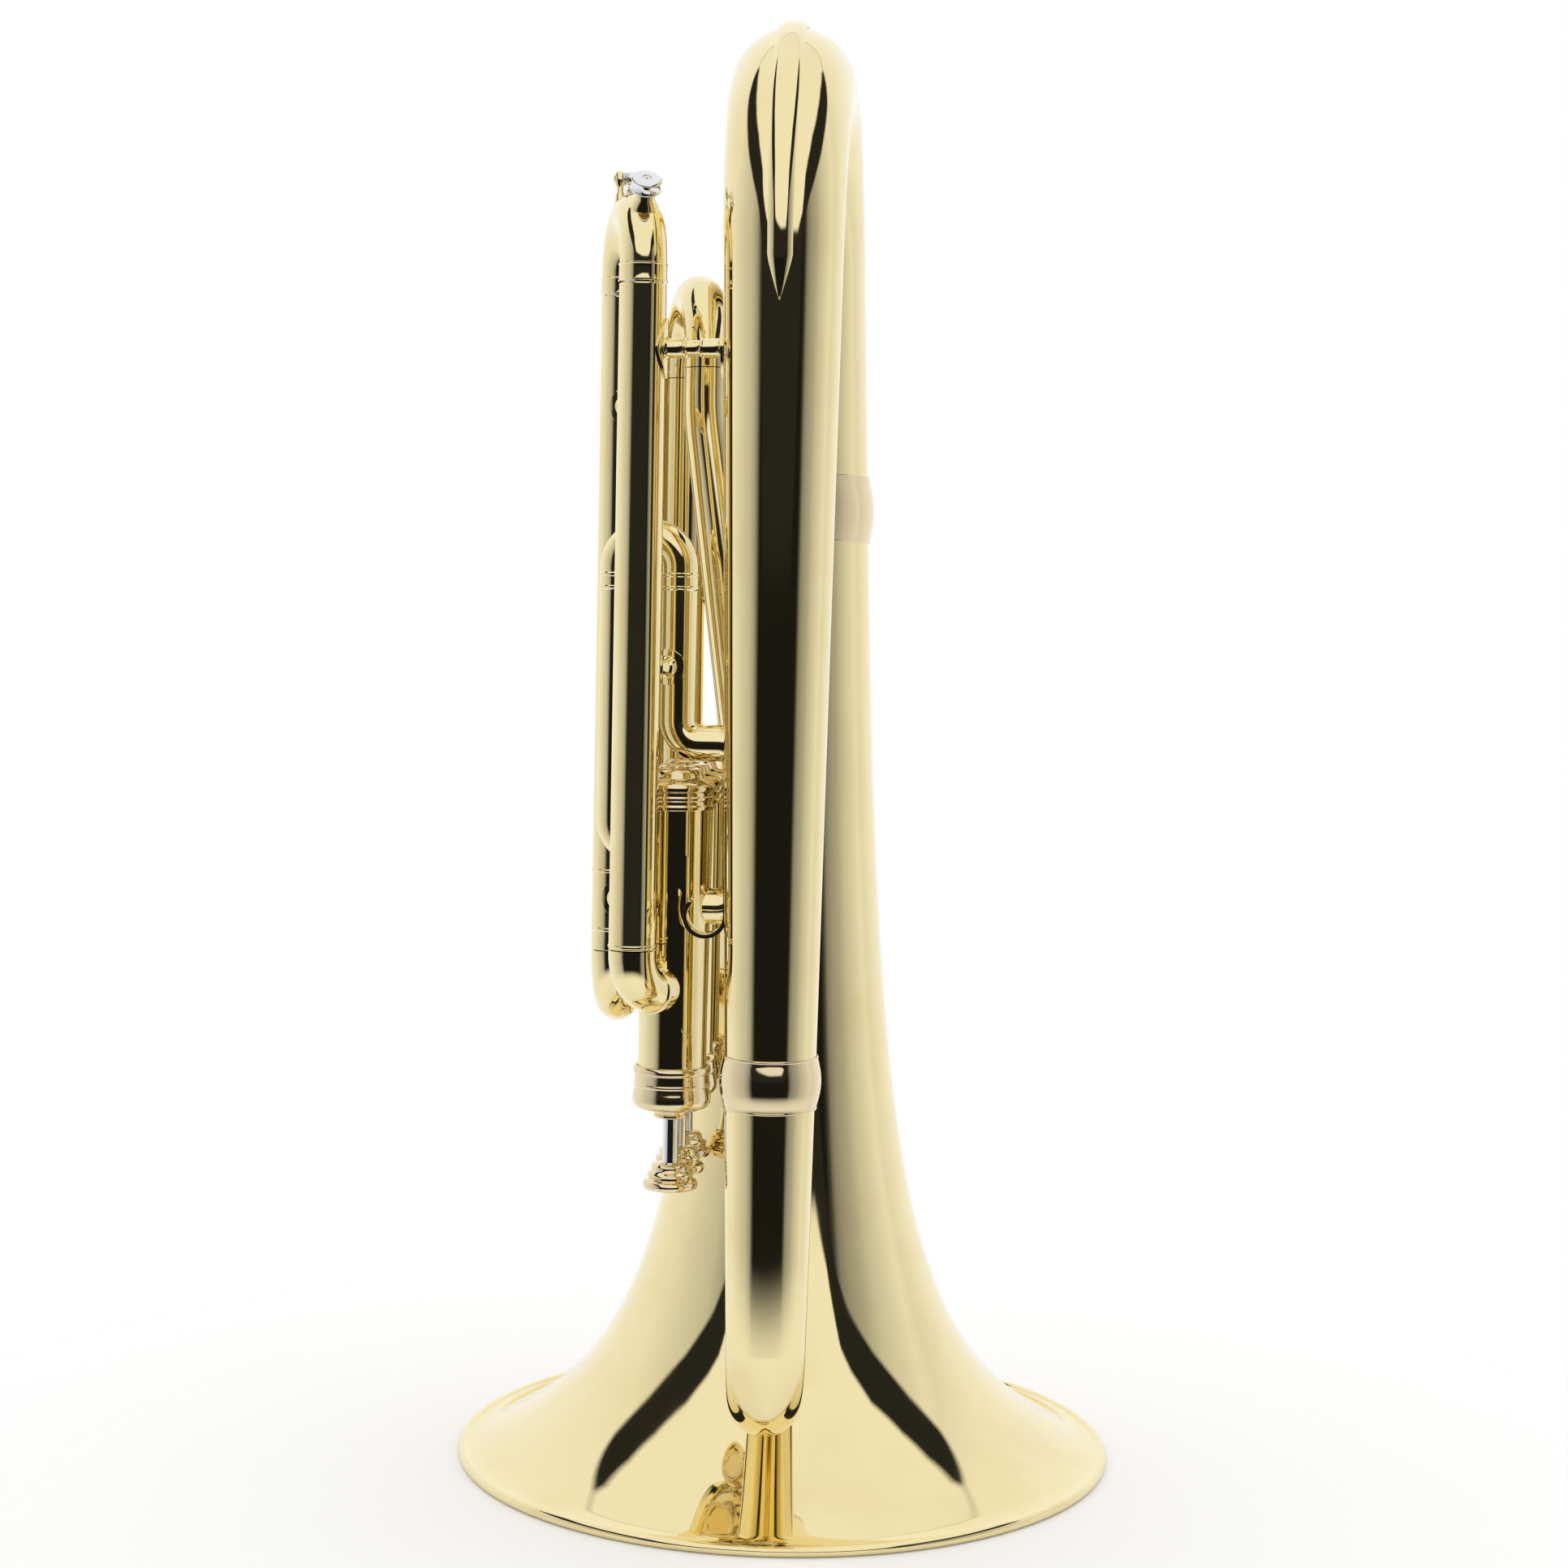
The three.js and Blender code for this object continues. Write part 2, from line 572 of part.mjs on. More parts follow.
// A place over the bow's middle line, and the way that points straight out of the bow there
const bowPart = (angle, along, rise) => (
  bowAway.clone().multiplyScalar(Math.cos(angle) * along).add(V(0, 0, Math.sin(angle) * rise))
)
const bowOut = (angle) => bowPart(angle, 1 / bowSpan, 1 / mainTube.arch).normalize()
const overBowAt = (angle, out) => (
  bowCentre.clone().add(bowPart(angle, bowSpan, mainTube.arch)).addScaledVector(bowOut(angle), out)
)
const nippleWay = bowOut(Math.PI / 4)
const nippleFoot = overBowAt(Math.PI / 4, mainTube.leg)
const nippleShape = turned([
  [0, 0],
  [waterKey.nippleBase, 0],
  [waterKey.nipple, waterKey.nippleHigh],
  [0, waterKey.nippleHigh],
], sides.small)
const slideBowRows = steppedBow(legTop(slideA), legTop(slideB), bowRings, slideBowPoints)
const slideBow = solid(pipeOf(slideBowRows, mainTube.ferrule - mainTube.leg, sides.middle))
const bowCore = solid(pipe(slideBowPoints, even(mainTube.sleeve - wall), 0, sides.middle))
const nipple = solid(laid(nippleShape, nippleFoot, nippleFoot.clone().add(nippleWay)))

// Water key: posts on the bow, a pin, a lever with its cup, and a cork
const pivotAngle = Math.PI * 0.56
const pivotWay = bowOut(pivotAngle)
const pivot = overBowAt(pivotAngle, keyPin.post)
const acrossBow = bowAway.clone().cross(V(0, 0, 1)).normalize()
const postPair = [-1, 1].map((side) => {
  const offset = side * (waterKey.arm + keyPost.spread)
  const foot = overBowAt(pivotAngle, mainTube.leg).addScaledVector(acrossBow, offset)
  const high = keyPin.post - mainTube.leg + keyPost.above
  const post = turned(
    [[0, -keyPost.root], [keyPost.foot, -keyPost.root], [keyPost.head, high], [0, high]], sides.tiny,
  )
  return solid(laid(post, foot, foot.clone().add(pivotWay)))
})
const pinHole = solid(laid(
  turned(
    [
      [0, 0], [keyPin.radius + gap / 2, 0],
      [keyPin.radius + gap / 2, 2 * keyPin.length], [0, 2 * keyPin.length],
    ],
    sides.tiny,
  ),
  pivot.clone().addScaledVector(acrossBow, -keyPin.length),
  pivot.clone().addScaledVector(acrossBow, keyPin.length),
))
const postBlock = postPair.reduce((all, p) => all.add(p), nipple).subtract(bowCore)
add('main_slide_bow', slideBow.add(postBlock).subtract(pinHole), brass)
const pinStart = pivot.clone().addScaledVector(acrossBow, -keyPin.length / 2)
const pinBody = turned(
  [[0, 0], [keyPin.radius, 0], [keyPin.radius, keyPin.length], [0, keyPin.length]], sides.tiny,
)
add('water_key_pin', laid(pinBody, pinStart, pivot), steel)
const corkFoot = nippleFoot.clone().addScaledVector(nippleWay, waterKey.nippleHigh + gap)
const corkRadius = waterKey.nipple + keyCork.margin
const corkShape = turned(
  [[0, 0], [corkRadius, 0], [corkRadius, keyCork.thick], [0, keyCork.thick]], sides.small,
)
add('water_key_cork', laid(corkShape, corkFoot, corkFoot.clone().add(nippleWay)), cork)
const cupFoot = corkFoot.clone()
const cupTop = keyCork.thick + waterKey.cupHigh - keyCup.under
const cupInner = corkRadius + gap
const corkTop = keyCork.thick + gap
const cupShape = turned([
  [0, corkTop],
  [cupInner, corkTop],
  [cupInner, keyCup.lip],
  [waterKey.cup, keyCup.lip],
  [waterKey.cup, cupTop],
  [waterKey.cup - keyCup.edge, cupTop + keyCup.edge],
  [0, cupTop + keyCup.edge],
], sides.middle)
const cup = solid(laid(cupShape, cupFoot, cupFoot.clone().add(nippleWay)))
const cupMiddle = cupFoot.clone().addScaledVector(nippleWay, cupTop - keyCup.grip)
const armTurn = (from, to, width, thick) => {
  const box = new THREE.BoxGeometry(width, thick, from.distanceTo(to))
  const along = to.clone().sub(from).normalize()
  const basis = new THREE.Matrix4().makeBasis(acrossBow, along.clone().cross(acrossBow), along)
  const middle = from.clone().add(to).multiplyScalar(0.5)
  return solid(box.applyMatrix4(basis).translate(middle.x, middle.y, middle.z))
}
const hubHalf = waterKey.arm - keyLever.hubInset
const hub = solid(laid(
  turned([[0, 0], [keyLever.hub, 0], [keyLever.hub, 2 * hubHalf], [0, 2 * hubHalf]], sides.small),
  pivot.clone().addScaledVector(acrossBow, -hubHalf),
  pivot,
))
const tabEnd = overBowAt(Math.PI * 0.78, keyLever.reach)
const tabTip = overBowAt(Math.PI * 0.86, keyTab.reach)
const arms = [
  armTurn(cupMiddle, pivot, keyLever.neck, keyLever.thick),
  armTurn(pivot, tabEnd, keyLever.tail, keyLever.thick),
  armTurn(tabEnd, tabTip, keyTab.width, keyTab.thick),
]
const lever = arms.reduce((all, arm) => all.add(arm), cup.add(hub))
const corkRoom = solid(laid(
  turned([[0, -overrun], [cupInner, -overrun], [cupInner, corkTop], [0, corkTop]], sides.middle),
  cupFoot,
  cupFoot.clone().add(nippleWay),
))
add('water_key_lever', lever.subtract(pinHole).subtract(corkRoom), nickel)

// Crook from the front sleeve into the near valve
const nearValve = valveAt(0)
const crookPort = portAt(nearValve, mainCrook.rise)
const crookTop = slideAt(slideA, slideA.low - gap / 2)
const crookFoot = portAt(crookTop, mainCrook.rise)
const crookWay = crookPort.clone().sub(crookFoot).normalize()
const crookEnd = crookPort.clone().addScaledVector(crookWay, overrun - valve.radius)
const crookRoute = bentRoute([crookTop, crookFoot, crookEnd], mainCrook.bend)
const crookTube = solid(pipe(crookRoute, even(mainTube.sleeve), wall, sides.middle))
add('main_crook', crookTube.subtract(casingRound(0)), brass)

// Leadpipe from the rear sleeve round to the mouthpiece receiver
const leadTop = slideAt(slideB, slideB.low - gap / 2)
const leadFoot = slideAt(slideB, leadpipe.run)
const leadEnd = V(slideB.x, leadpipe.end, leadpipe.run)
const leadRoute = bentRoute([leadTop, leadFoot, leadEnd], leadpipe.bend)
const leadRadius = between(mainTube.sleeve, leadpipe.radius)
add('leadpipe', pipe(leadRoute, leadRadius, wall, sides.small), brass)
const receiverFit = (leadpipe.radius + 2 * gap) / Math.cos(Math.PI / sides.small)
const receiverShape = turnedLoop([
  [receiverFit, 0],
  [receiverFit + wall / 2, 0],
  [receiver.radius - receiver.edge, receiver.length - receiver.ring - receiver.flare],
  [receiver.radius + receiver.edge, receiver.length - receiver.ring],
  [receiver.radius + receiver.edge, receiver.length],
  [receiver.bore, receiver.length],
  [receiver.bore - wall, receiver.stop],
  [receiverFit, receiver.stop - wall],
], sides.small)
const receiverFoot = leadEnd.clone().add(V(0, -receiver.overlap, 0))
add('mouthpiece_receiver', laid(receiverShape, receiverFoot, leadEnd), brass)

// Valve slides: sleeves fixed to the casings and bows that pull out of them
const fixedTube = (name, corners, bend, cuts, material = brass) => {
  let tube = solid(pipe(bentRoute(corners, bend), even(slideTube.sleeve), wall, sides.small))
  for (const i of cuts) tube = tube.subtract(casingRound(i))
  add(name, tube, material)
}
const slideU = (name, a, b, insert) => {
  const up = slideTube.rise
  const steps = stepped(slideTube.leg - gap / 2, slideTube.sleeve + gap, slideTube.sleeve, insert, up)
  const bow = bowRoute(lift(a, up + ease), lift(b, up + ease), 1, bowSteps.small)
  add(name, pipeOf(steppedBow(a, b, steps, bow), wall, sides.small), brass)
}
const portSide = (i, way) => portAt(valveAt(i), 0).addScaledVector(way, valve.radius - overrun)
const firstLeftTop = V(first.x, nearY, firstHigh)
const firstBackTop = V(first.backX, nearY, firstHigh)
const firstLeft = [lift(portSide(0, V(-1, 0, 0)), first.port), portAt(firstLeftTop, first.port), firstLeftTop]
fixedTube('first_left_tube', firstLeft, firstBend.left, [0])
const firstReturn = V(first.returnX, nearY, firstLow)
const firstBack = [
  firstBackTop,
  firstBackTop.clone().setZ(firstLow),
  firstReturn,
  portAt(firstReturn, first.returnPort),
  lift(portSide(0, V(1, 0, 0)), first.returnPort),
]
fixedTube('first_right_tube', firstBack, firstBend.right, [0])
slideU('first_slide_bow', firstLeftTop, firstBackTop, slideTube.insert)

const thirdTube = (name, x, behind, port, bend) => {
  const top = V(x, farY + behind, third.high)
  const way = top.clone().sub(farValve).setZ(0).normalize()
  fixedTube(name, [lift(portSide(2, way), port), portAt(top, port), top], bend, [2])
  return top
}
const thirdLeftTop = thirdTube('third_left_tube', third.leftX, third.leftBehind, third.port, thirdBend.left)
const thirdRightTop = thirdTube(
  'third_right_tube', third.rightX, third.rightBehind, third.rightPort, thirdBend.right,
)
slideU('third_slide_bow', thirdLeftTop, thirdRightTop, thirdBend.insert)

// Second slide: a short loop that pulls out sideways
const middleValve = valveAt(1)
const secondWay = V(Math.cos(second.turn), Math.sin(second.turn), 0)
const secondAt = (out, z) => V(middleValve.x, middleValve.y, z).addScaledVector(secondWay, out)
const secondTube = (name, z) => {
  const ends = [secondAt(valve.radius - overrun, z), secondAt(valve.radius + second.length, z)]
  const tube = pipe(ends, even(second.radius), wall, sides.small)
  add(name, solid(tube).subtract(casingRound(1)), brass)
}
const secondLow = valve.low + second.port
secondTube('second_low_tube', secondLow)
secondTube('second_high_tube', secondLow + second.rise)
const loopOut = valve.radius + second.length + gap
const secondLegs = [0, second.rise].map((rise) => secondAt(loopOut, secondLow + rise))
const loopBow = []
for (let k = 0; k <= bowSteps.small; k++) {
  const a = (Math.PI * k) / bowSteps.small
  const r = second.rise / 2
  loopBow.push(secondAt(loopOut + second.joint + ease + r * Math.sin(a), secondLow + r - r * Math.cos(a)))
}
const loopSteps = stepped(second.leg, second.radius + gap, second.radius, second.insert, second.joint)
const secondRows = steppedBow(...secondLegs, loopSteps, loopBow, secondWay)
add('second_slide_bow', pipeOf(secondRows, wall, sides.small), brass)

// Stays with saddle feet, cut to the tubes that they join, and a collar where there is room
const fatPipe = (points, radiusAt, count = sides.middle) => (
  solid(pipe(points, (t) => radiusAt(t) + gap, 0, count))
)
const stayBetween = (name, a, b, radiusA, radiusB, cutters) => {
  const way = b.clone().sub(a).normalize()
  const length = a.distanceTo(b)
  const footHigh = radiusA + stay.footThick
  const footLow = length - radiusB - stay.footThick
  const mid = (footHigh + footLow) / 2
  const room = (footLow - footHigh) / 2 - stay.collarHalf - 2 * stay.taper
  const taper = Math.min(stay.taper, (footLow - footHigh) / 4)
  const collar = [
    [stay.radius, mid - stay.collarHalf - taper],
    [stay.collar, mid - stay.collarHalf],
    [stay.collar, mid + stay.collarHalf],
    [stay.radius, mid + stay.collarHalf + taper],
  ]
  const profile = [
    [0, radiusA - stay.sink],
    [stay.foot, radiusA - stay.sink],
    [stay.foot, radiusA],
    [stay.radius + taper, footHigh],
    [stay.radius, footHigh + taper],
    ...(room > 0 ? collar : []),
    [stay.radius, footLow - taper],
    [stay.radius + taper, footLow],
    [stay.foot, length - radiusB],
    [stay.foot, length - radiusB + stay.sink],
    [0, length - radiusB + stay.sink],
  ]
  let body = solid(laid(turned(profile, sides.tiny), a, a.clone().add(way)))
  for (const cutter of cutters) body = body.subtract(cutter)
  add(name, body, brass)
}
const frontPipe = fatPipe(
  [V(0, -branchReach, branch.springing), V(0, -branchReach, branch.end)],
  between(branch.bowEnd, branch.endRadius),
  sides.big,
)
const sleeveRound = (s) => fatPipe([slideAt(s, s.low - overrun), slideAt(s, s.high)], even(mainTube.sleeve))
const sleeveA = sleeveRound(slideA)
const sleeveB = sleeveRound(slideB)
const mainHigh = slideA.high - stayPlace.main
const frontSpot = V(0, -branchReach, mainHigh)
const mainStayEnds = [slideAt(slideA, mainHigh), frontSpot]
const mainStayRadii = [mainTube.sleeve, branchRadiusAt(mainHigh)]
stayBetween('main_stay', ...mainStayEnds, ...mainStayRadii, [sleeveA, frontPipe])
const slideStay = (name, z) => {
  const [rearEnd, frontEnd] = [slideAt(slideB, z), slideAt(slideA, z)]
  stayBetween(name, rearEnd, frontEnd, mainTube.sleeve, mainTube.sleeve, [sleeveA, sleeveB])
}
slideStay('upper_slide_stay', slideA.high - stayPlace.upper)
slideStay('lower_slide_stay', (slideA.low + valve.low + first.port - slideTube.sleeve) / 2)
const bellRows = [bellHeights.at(-2), bellHeights.at(-1), bell.top].map((z) => [bellRadius(z) + gap, z])
const bellCore = solid(turned([[0, bellRows[0][1]], ...bellRows, [0, bell.top]], sides.bell))
const bellStayHigh = bellFerrule.low - stayPlace.bell
const bellSpot = V(0, 0, bellStayHigh)
const outRound = fatPipe(outputPoints, even(returnTop.radius))
const bellStayRadii = [bellRadius(bellStayHigh), returnTop.radius]
stayBetween('bell_stay', bellSpot, outAt(bellStayHigh), ...bellStayRadii, [bellCore, outRound])
const leadSpot = V(slideB.x, stayPlace.leadY, leadpipe.run)
const leadStart = V(0, stayPlace.bellY, leadpipe.run + stayPlace.leadRise)
const leadWhole = leadTop.distanceTo(leadFoot) + leadFoot.distanceTo(leadEnd)
const leadBefore = leadFoot.distanceTo(leadSpot) / leadWhole
const leadStayRadii = [bellRadius(leadStart.z), leadRadius(leadBefore)]
const leadRound = fatPipe(leadRoute, leadRadius, sides.small)
stayBetween('leadpipe_stay', leadStart, leadSpot, ...leadStayRadii, [bellCore, leadRound])
const firstSpot = firstBackTop.clone().setZ((firstLow + firstHigh) / 2)
const firstRound = fatPipe([firstReturn.clone().setX(first.backX), firstBackTop], even(slideTube.sleeve))
const firstStart = slideAt(slideA, firstSpot.z)
const firstStayRadii = [mainTube.sleeve, slideTube.sleeve]
stayBetween('first_slide_stay', firstStart, firstSpot, ...firstStayRadii, [sleeveA, firstRound])

// Curled hook on the left of the front branch
const hookShape = new THREE.Shape()
const hookOuter = hook.radius
const hookInner = hook.radius - hook.thick
hookShape.moveTo(hookOuter, hook.rise)
hookShape.lineTo(hookOuter, 0)
hookShape.absarc(0, 0, hookOuter, 0, -Math.PI * 1.25, true)
const hookEnd = Math.PI * 0.75
hookShape.lineTo(hookInner * Math.cos(hookEnd), hookInner * Math.sin(hookEnd))
hookShape.absarc(0, 0, hookInner, -Math.PI * 1.25, 0, false)
hookShape.lineTo(hookInner, hook.rise)
hookShape.closePath()
const hookCut = { depth: hook.width, bevelEnabled: false, curveSegments: 10 }
const hookBody = new THREE.ExtrudeGeometry(hookShape, hookCut)
hookBody.rotateX(Math.PI / 2)
const hookX = -branchRadiusAt(hook.z + hook.rise / 2) - gap - hookOuter
hookBody.translate(hookX + hook.thick, -branchReach + hook.width / 2 + hook.back, hook.z)
add('finger_hook', solid(hookBody).subtract(frontPipe), brass)

// The origin goes under the middle of the footprint
const box = new THREE.Box3().setFromObject(horn)
const middle = box.getCenter(V(0, 0, 0))
horn.position.set(-middle.x, -middle.y, -box.min.z)

export default horn
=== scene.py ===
# A baritone horn in lacquered brass, stood upside-down on its bell in a white studio
import math

import bmesh
import bpy
from mathutils import Matrix, Vector


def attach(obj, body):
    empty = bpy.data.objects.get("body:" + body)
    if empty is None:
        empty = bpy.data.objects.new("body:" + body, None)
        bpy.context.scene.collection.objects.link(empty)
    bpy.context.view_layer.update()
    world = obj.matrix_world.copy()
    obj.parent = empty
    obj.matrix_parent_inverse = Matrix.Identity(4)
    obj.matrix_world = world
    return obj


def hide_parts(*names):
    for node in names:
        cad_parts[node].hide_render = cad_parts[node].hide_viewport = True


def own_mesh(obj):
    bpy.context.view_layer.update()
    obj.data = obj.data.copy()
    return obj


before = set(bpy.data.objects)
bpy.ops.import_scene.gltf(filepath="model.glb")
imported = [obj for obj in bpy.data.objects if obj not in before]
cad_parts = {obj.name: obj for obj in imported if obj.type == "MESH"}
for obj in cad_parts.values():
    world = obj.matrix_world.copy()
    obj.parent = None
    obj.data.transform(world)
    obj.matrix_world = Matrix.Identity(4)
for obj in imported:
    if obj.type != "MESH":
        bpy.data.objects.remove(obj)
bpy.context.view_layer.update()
print("frame loaded")

mm = 0.001
bellAxisY = 13.5217  # where the bell's axis stands in the frame, in mm
up = Vector((0, 0, 1))


# A point in mm from the foot of the bell's axis
def at(x, y, z):
    return Vector((x, y + bellAxisY, z)) * mm


# Modelling moves, as by hand
def letGo():
    bpy.ops.object.select_all(action="DESELECT")


def startRing(name, centre, way, radius, sides):
    letGo()
    turn = way.to_track_quat("Z", "Y").to_euler()
    bpy.ops.mesh.primitive_circle_add(vertices=sides, radius=radius, location=centre, rotation=turn)
    piece = bpy.context.active_object
    piece.name = name
    piece.data.name = name
    bpy.ops.object.mode_set(mode="EDIT")
    bpy.ops.mesh.select_all(action="SELECT")
    return piece


def growRing(ratio, centre):
    if abs(ratio - 1) > 1e-9:
        bpy.ops.transform.resize(value=(ratio, ratio, ratio), center_override=centre)


def openEdges(piece):
    bpy.ops.mesh.select_all(action="DESELECT")
    shell = bmesh.from_edit_mesh(piece.data)
    for edge in shell.edges:
        if edge.is_boundary:
            edge.select_set(True)
    bmesh.update_edit_mesh(piece.data)


def closeUp(piece, ring):
    openEdges(piece)
    if ring:
        bpy.ops.mesh.bridge_edge_loops()
    else:
        bpy.ops.mesh.fill_holes(sides=0)
    bpy.ops.mesh.select_all(action="SELECT")
    bpy.ops.mesh.normals_make_consistent(inside=False)
    bpy.ops.object.mode_set(mode="OBJECT")


# Pulls a ring along its axis through rows of (radius, height) in mm
def turnPiece(name, foot, way, rows, sides=72, ring=False):
    way = way.normalized()
    radius, height = rows[0]
    piece = startRing(name, foot + way * height * mm, way, radius * mm, sides)
    for nextRadius, nextHeight in rows[1:]:
        bpy.ops.mesh.extrude_region_move(TRANSFORM_OT_translate={"value": way * (nextHeight - height) * mm})
        growRing(nextRadius / radius, foot + way * nextHeight * mm)
        radius, height = nextRadius, nextHeight
    closeUp(piece, ring)
    return piece


# Straight runs and round bends through corners
def movesThrough(corners, bend):
    moves, here = [], corners[0]
    for before, corner, after in zip(corners, corners[1:], corners[2:]):
        into, out = (corner - before).normalized(), (after - corner).normalized()
        swing = into.angle(out)
        inset = bend * mm * math.tan(swing / 2)
        start, axis = corner - into * inset, into.cross(out).normalized()
        moves.append(("run", start - here))
        moves.append(("turn", start + axis.cross(into) * bend * mm, axis, swing))
        here = corner + out * inset
    moves.append(("run", corners[-1] - here))
    return moves


# A half turn from one leg over to the other
def bowOver(a, b, way):
    return ("turn", (a + b) / 2, way.cross(b - a).normalized(), math.pi)


# Pulls a ring along the moves, its radius (mm) following the share of length travelled
def drawTube(name, start, way, moves, radiusAt, wall=0.9, sides=56, turnStep=6):
    here = start.copy()
    spans = []
    for move in moves:
        if move[0] == "run":
            spans.append(move[1].length)
            here = here + move[1]
        else:
            spans.append((here - move[1]).length * move[3])
            here = move[1] + Matrix.Rotation(move[3], 3, move[2]) @ (here - move[1])
    whole, done = sum(spans), 0.0
    radius = radiusAt(0)
    piece = startRing(name, start, way, radius * mm, sides)
    here = start.copy()
    for move, span in zip(moves, spans):
        if move[0] == "run":
            if span < 1e-7:
                continue
            bpy.ops.mesh.extrude_region_move(TRANSFORM_OT_translate={"value": move[1]})
            here, done = here + move[1], done + span
            nextRadius = radiusAt(done / whole)
            growRing(nextRadius / radius, here)
            radius = nextRadius
            continue
        steps = max(2, round(math.degrees(move[3]) / turnStep))
        angle = move[3] / steps
        for _ in range(steps):
            bpy.ops.mesh.spin(steps=1, angle=angle, center=move[1], axis=-move[2])
            here = move[1] + Matrix.Rotation(angle, 3, move[2]) @ (here - move[1])
            done += span / steps
            nextRadius = radiusAt(done / whole)
            growRing(nextRadius / radius, here)
            radius = nextRadius
    bpy.ops.mesh.select_all(action="SELECT")
    bpy.ops.mesh.normals_make_consistent(inside=False)
    bpy.ops.object.mode_set(mode="OBJECT")
    skin = piece.modifiers.new("wall", "SOLIDIFY")
    skin.thickness = wall * mm
    skin.offset = -1
    skin.use_even_offset = True
    applyAll(piece)
    return piece


def applyAll(piece):
    letGo()
    piece.select_set(True)
    bpy.context.view_layer.objects.active = piece
    for modifier in list(piece.modifiers):
        bpy.ops.object.modifier_apply(modifier=modifier.name)
    bpy.ops.object.transform_apply(location=True, rotation=True, scale=True)


def joinInto(main, *others):
    applyAll(main)
    for other in others:
        applyAll(other)
    letGo()
    for other in others:
        other.select_set(True)
    main.select_set(True)
    bpy.context.view_layer.objects.active = main
    bpy.ops.object.join()
    return main


# Softens the edges, shades the piece and hands it to its body
def finishPiece(piece, body, slot, finish, *stoodFor, edge=0.15, smooth=32):
    if edge:
        soften = piece.modifiers.new("softEdges", "BEVEL")
        soften.width = edge * mm
        soften.segments = 2
        soften.limit_method = "ANGLE"
        soften.angle_limit = math.radians(smooth)
    applyAll(piece)
    bpy.ops.object.shade_smooth_by_angle(angle=math.radians(smooth))
    piece.data.materials.clear()
    piece.data.materials.append(finish)
    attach(piece, body)
    if stoodFor:
        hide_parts(*stoodFor)
    return piece


# Node helpers: a value that isn't a number is a socket to link
def feed(tree, *pairs):
    for socket, value in pairs:
        if isinstance(value, bpy.types.NodeSocket):
            tree.links.new(value, socket)
        else:
            socket.default_value = value


def mathNode(tree, operation, *values):
    node = tree.nodes.new("ShaderNodeMath")
    node.operation = operation
    feed(tree, *zip(node.inputs, values))
    return node.outputs["Value"]


def mixTone(tree, share, low, high):
    node = tree.nodes.new("ShaderNodeMix")
    node.data_type = "RGBA"
    feed(tree, (node.inputs[0], share), (node.inputs[6], low), (node.inputs[7], high))
    return node.outputs[2]


def noiseNode(tree, spot, scale, detail):
    node = tree.nodes.new("ShaderNodeTexNoise")
    feed(tree, (node.inputs["Vector"], spot), (node.inputs["Scale"], scale), (node.inputs["Detail"], detail))
    return node.outputs["Fac"]


def rangeNode(tree, value, low, high):
    node = tree.nodes.new("ShaderNodeMapRange")
    feed(tree, (node.inputs["Value"], value), (node.inputs["From Min"], low), (node.inputs["From Max"], high))
    return node


# Finishes
metal = {
    "brass": {"tint": (0.94, 0.81, 0.45, 1), "tarnish": (0.9, 0.75, 0.4, 1), "roughness": 0.035, "coat": 0.25},
    "goldBrass": {"tint": (0.86, 0.72, 0.46, 1), "tarnish": (0.8, 0.66, 0.38, 1), "roughness": 0.05, "coat": 0.25},
    "nickel": {"tint": (0.86, 0.87, 0.89, 1), "tarnish": (0.8, 0.8, 0.8, 1), "roughness": 0.06, "coat": 0},
    "steel": {"tint": (0.62, 0.61, 0.6, 1), "tarnish": (0.5, 0.48, 0.45, 1), "roughness": 0.2, "coat": 0},
}
polishing = {"haze": 0.05, "hazeScale": 34, "wave": 1.0, "waveScale": 21, "lines": 0.01, "drawn": (900, 900, 16),
             "bump": 0.06, "bumpReach": 0.002}


# Haze, polishing lines and the faint waves of drawn metal, shared by every polished finish
def makePolish():
    group = bpy.data.node_groups.new("polish", "ShaderNodeTree")
    sockets = group.interface
    for name, value in (("Base Roughness", 0.05), ("Haze", 0.04), ("Wave", 0.5), ("Lines", 0.2)):
        sockets.new_socket(name, in_out="INPUT", socket_type="NodeSocketFloat").default_value = value
    for name in ("Tint", "Tarnish"):
        sockets.new_socket(name, in_out="INPUT", socket_type="NodeSocketColor")
    for name, kind in (("Colour", "Color"), ("Roughness", "Float"), ("Height", "Float")):
        sockets.new_socket(name, in_out="OUTPUT", socket_type="NodeSocket" + kind)
    given = group.nodes.new("NodeGroupInput").outputs
    result = group.nodes.new("NodeGroupOutput").inputs
    spot = group.nodes.new("ShaderNodeTexCoord").outputs["Object"]
    stretch = group.nodes.new("ShaderNodeMapping")
    feed(group, (stretch.inputs["Vector"], spot), (stretch.inputs["Scale"], polishing["drawn"]))
    haze = noiseNode(group, spot, polishing["hazeScale"], 4)
    wave = noiseNode(group, spot, polishing["waveScale"], 1)
    lines = noiseNode(group, stretch.outputs["Vector"], 1, 3)
    blot = rangeNode(group, haze, 0.48, 0.8).outputs["Result"]
    fine = mathNode(group, "MULTIPLY", lines, given["Lines"])
    feed(group,
         (result["Colour"], mixTone(group, blot, given["Tint"], given["Tarnish"])),
         (result["Roughness"], mathNode(group, "MULTIPLY_ADD", blot, given["Haze"], given["Base Roughness"])),
         (result["Height"], mathNode(group, "MULTIPLY_ADD", wave, given["Wave"], fine)))
    return group


polish = makePolish()


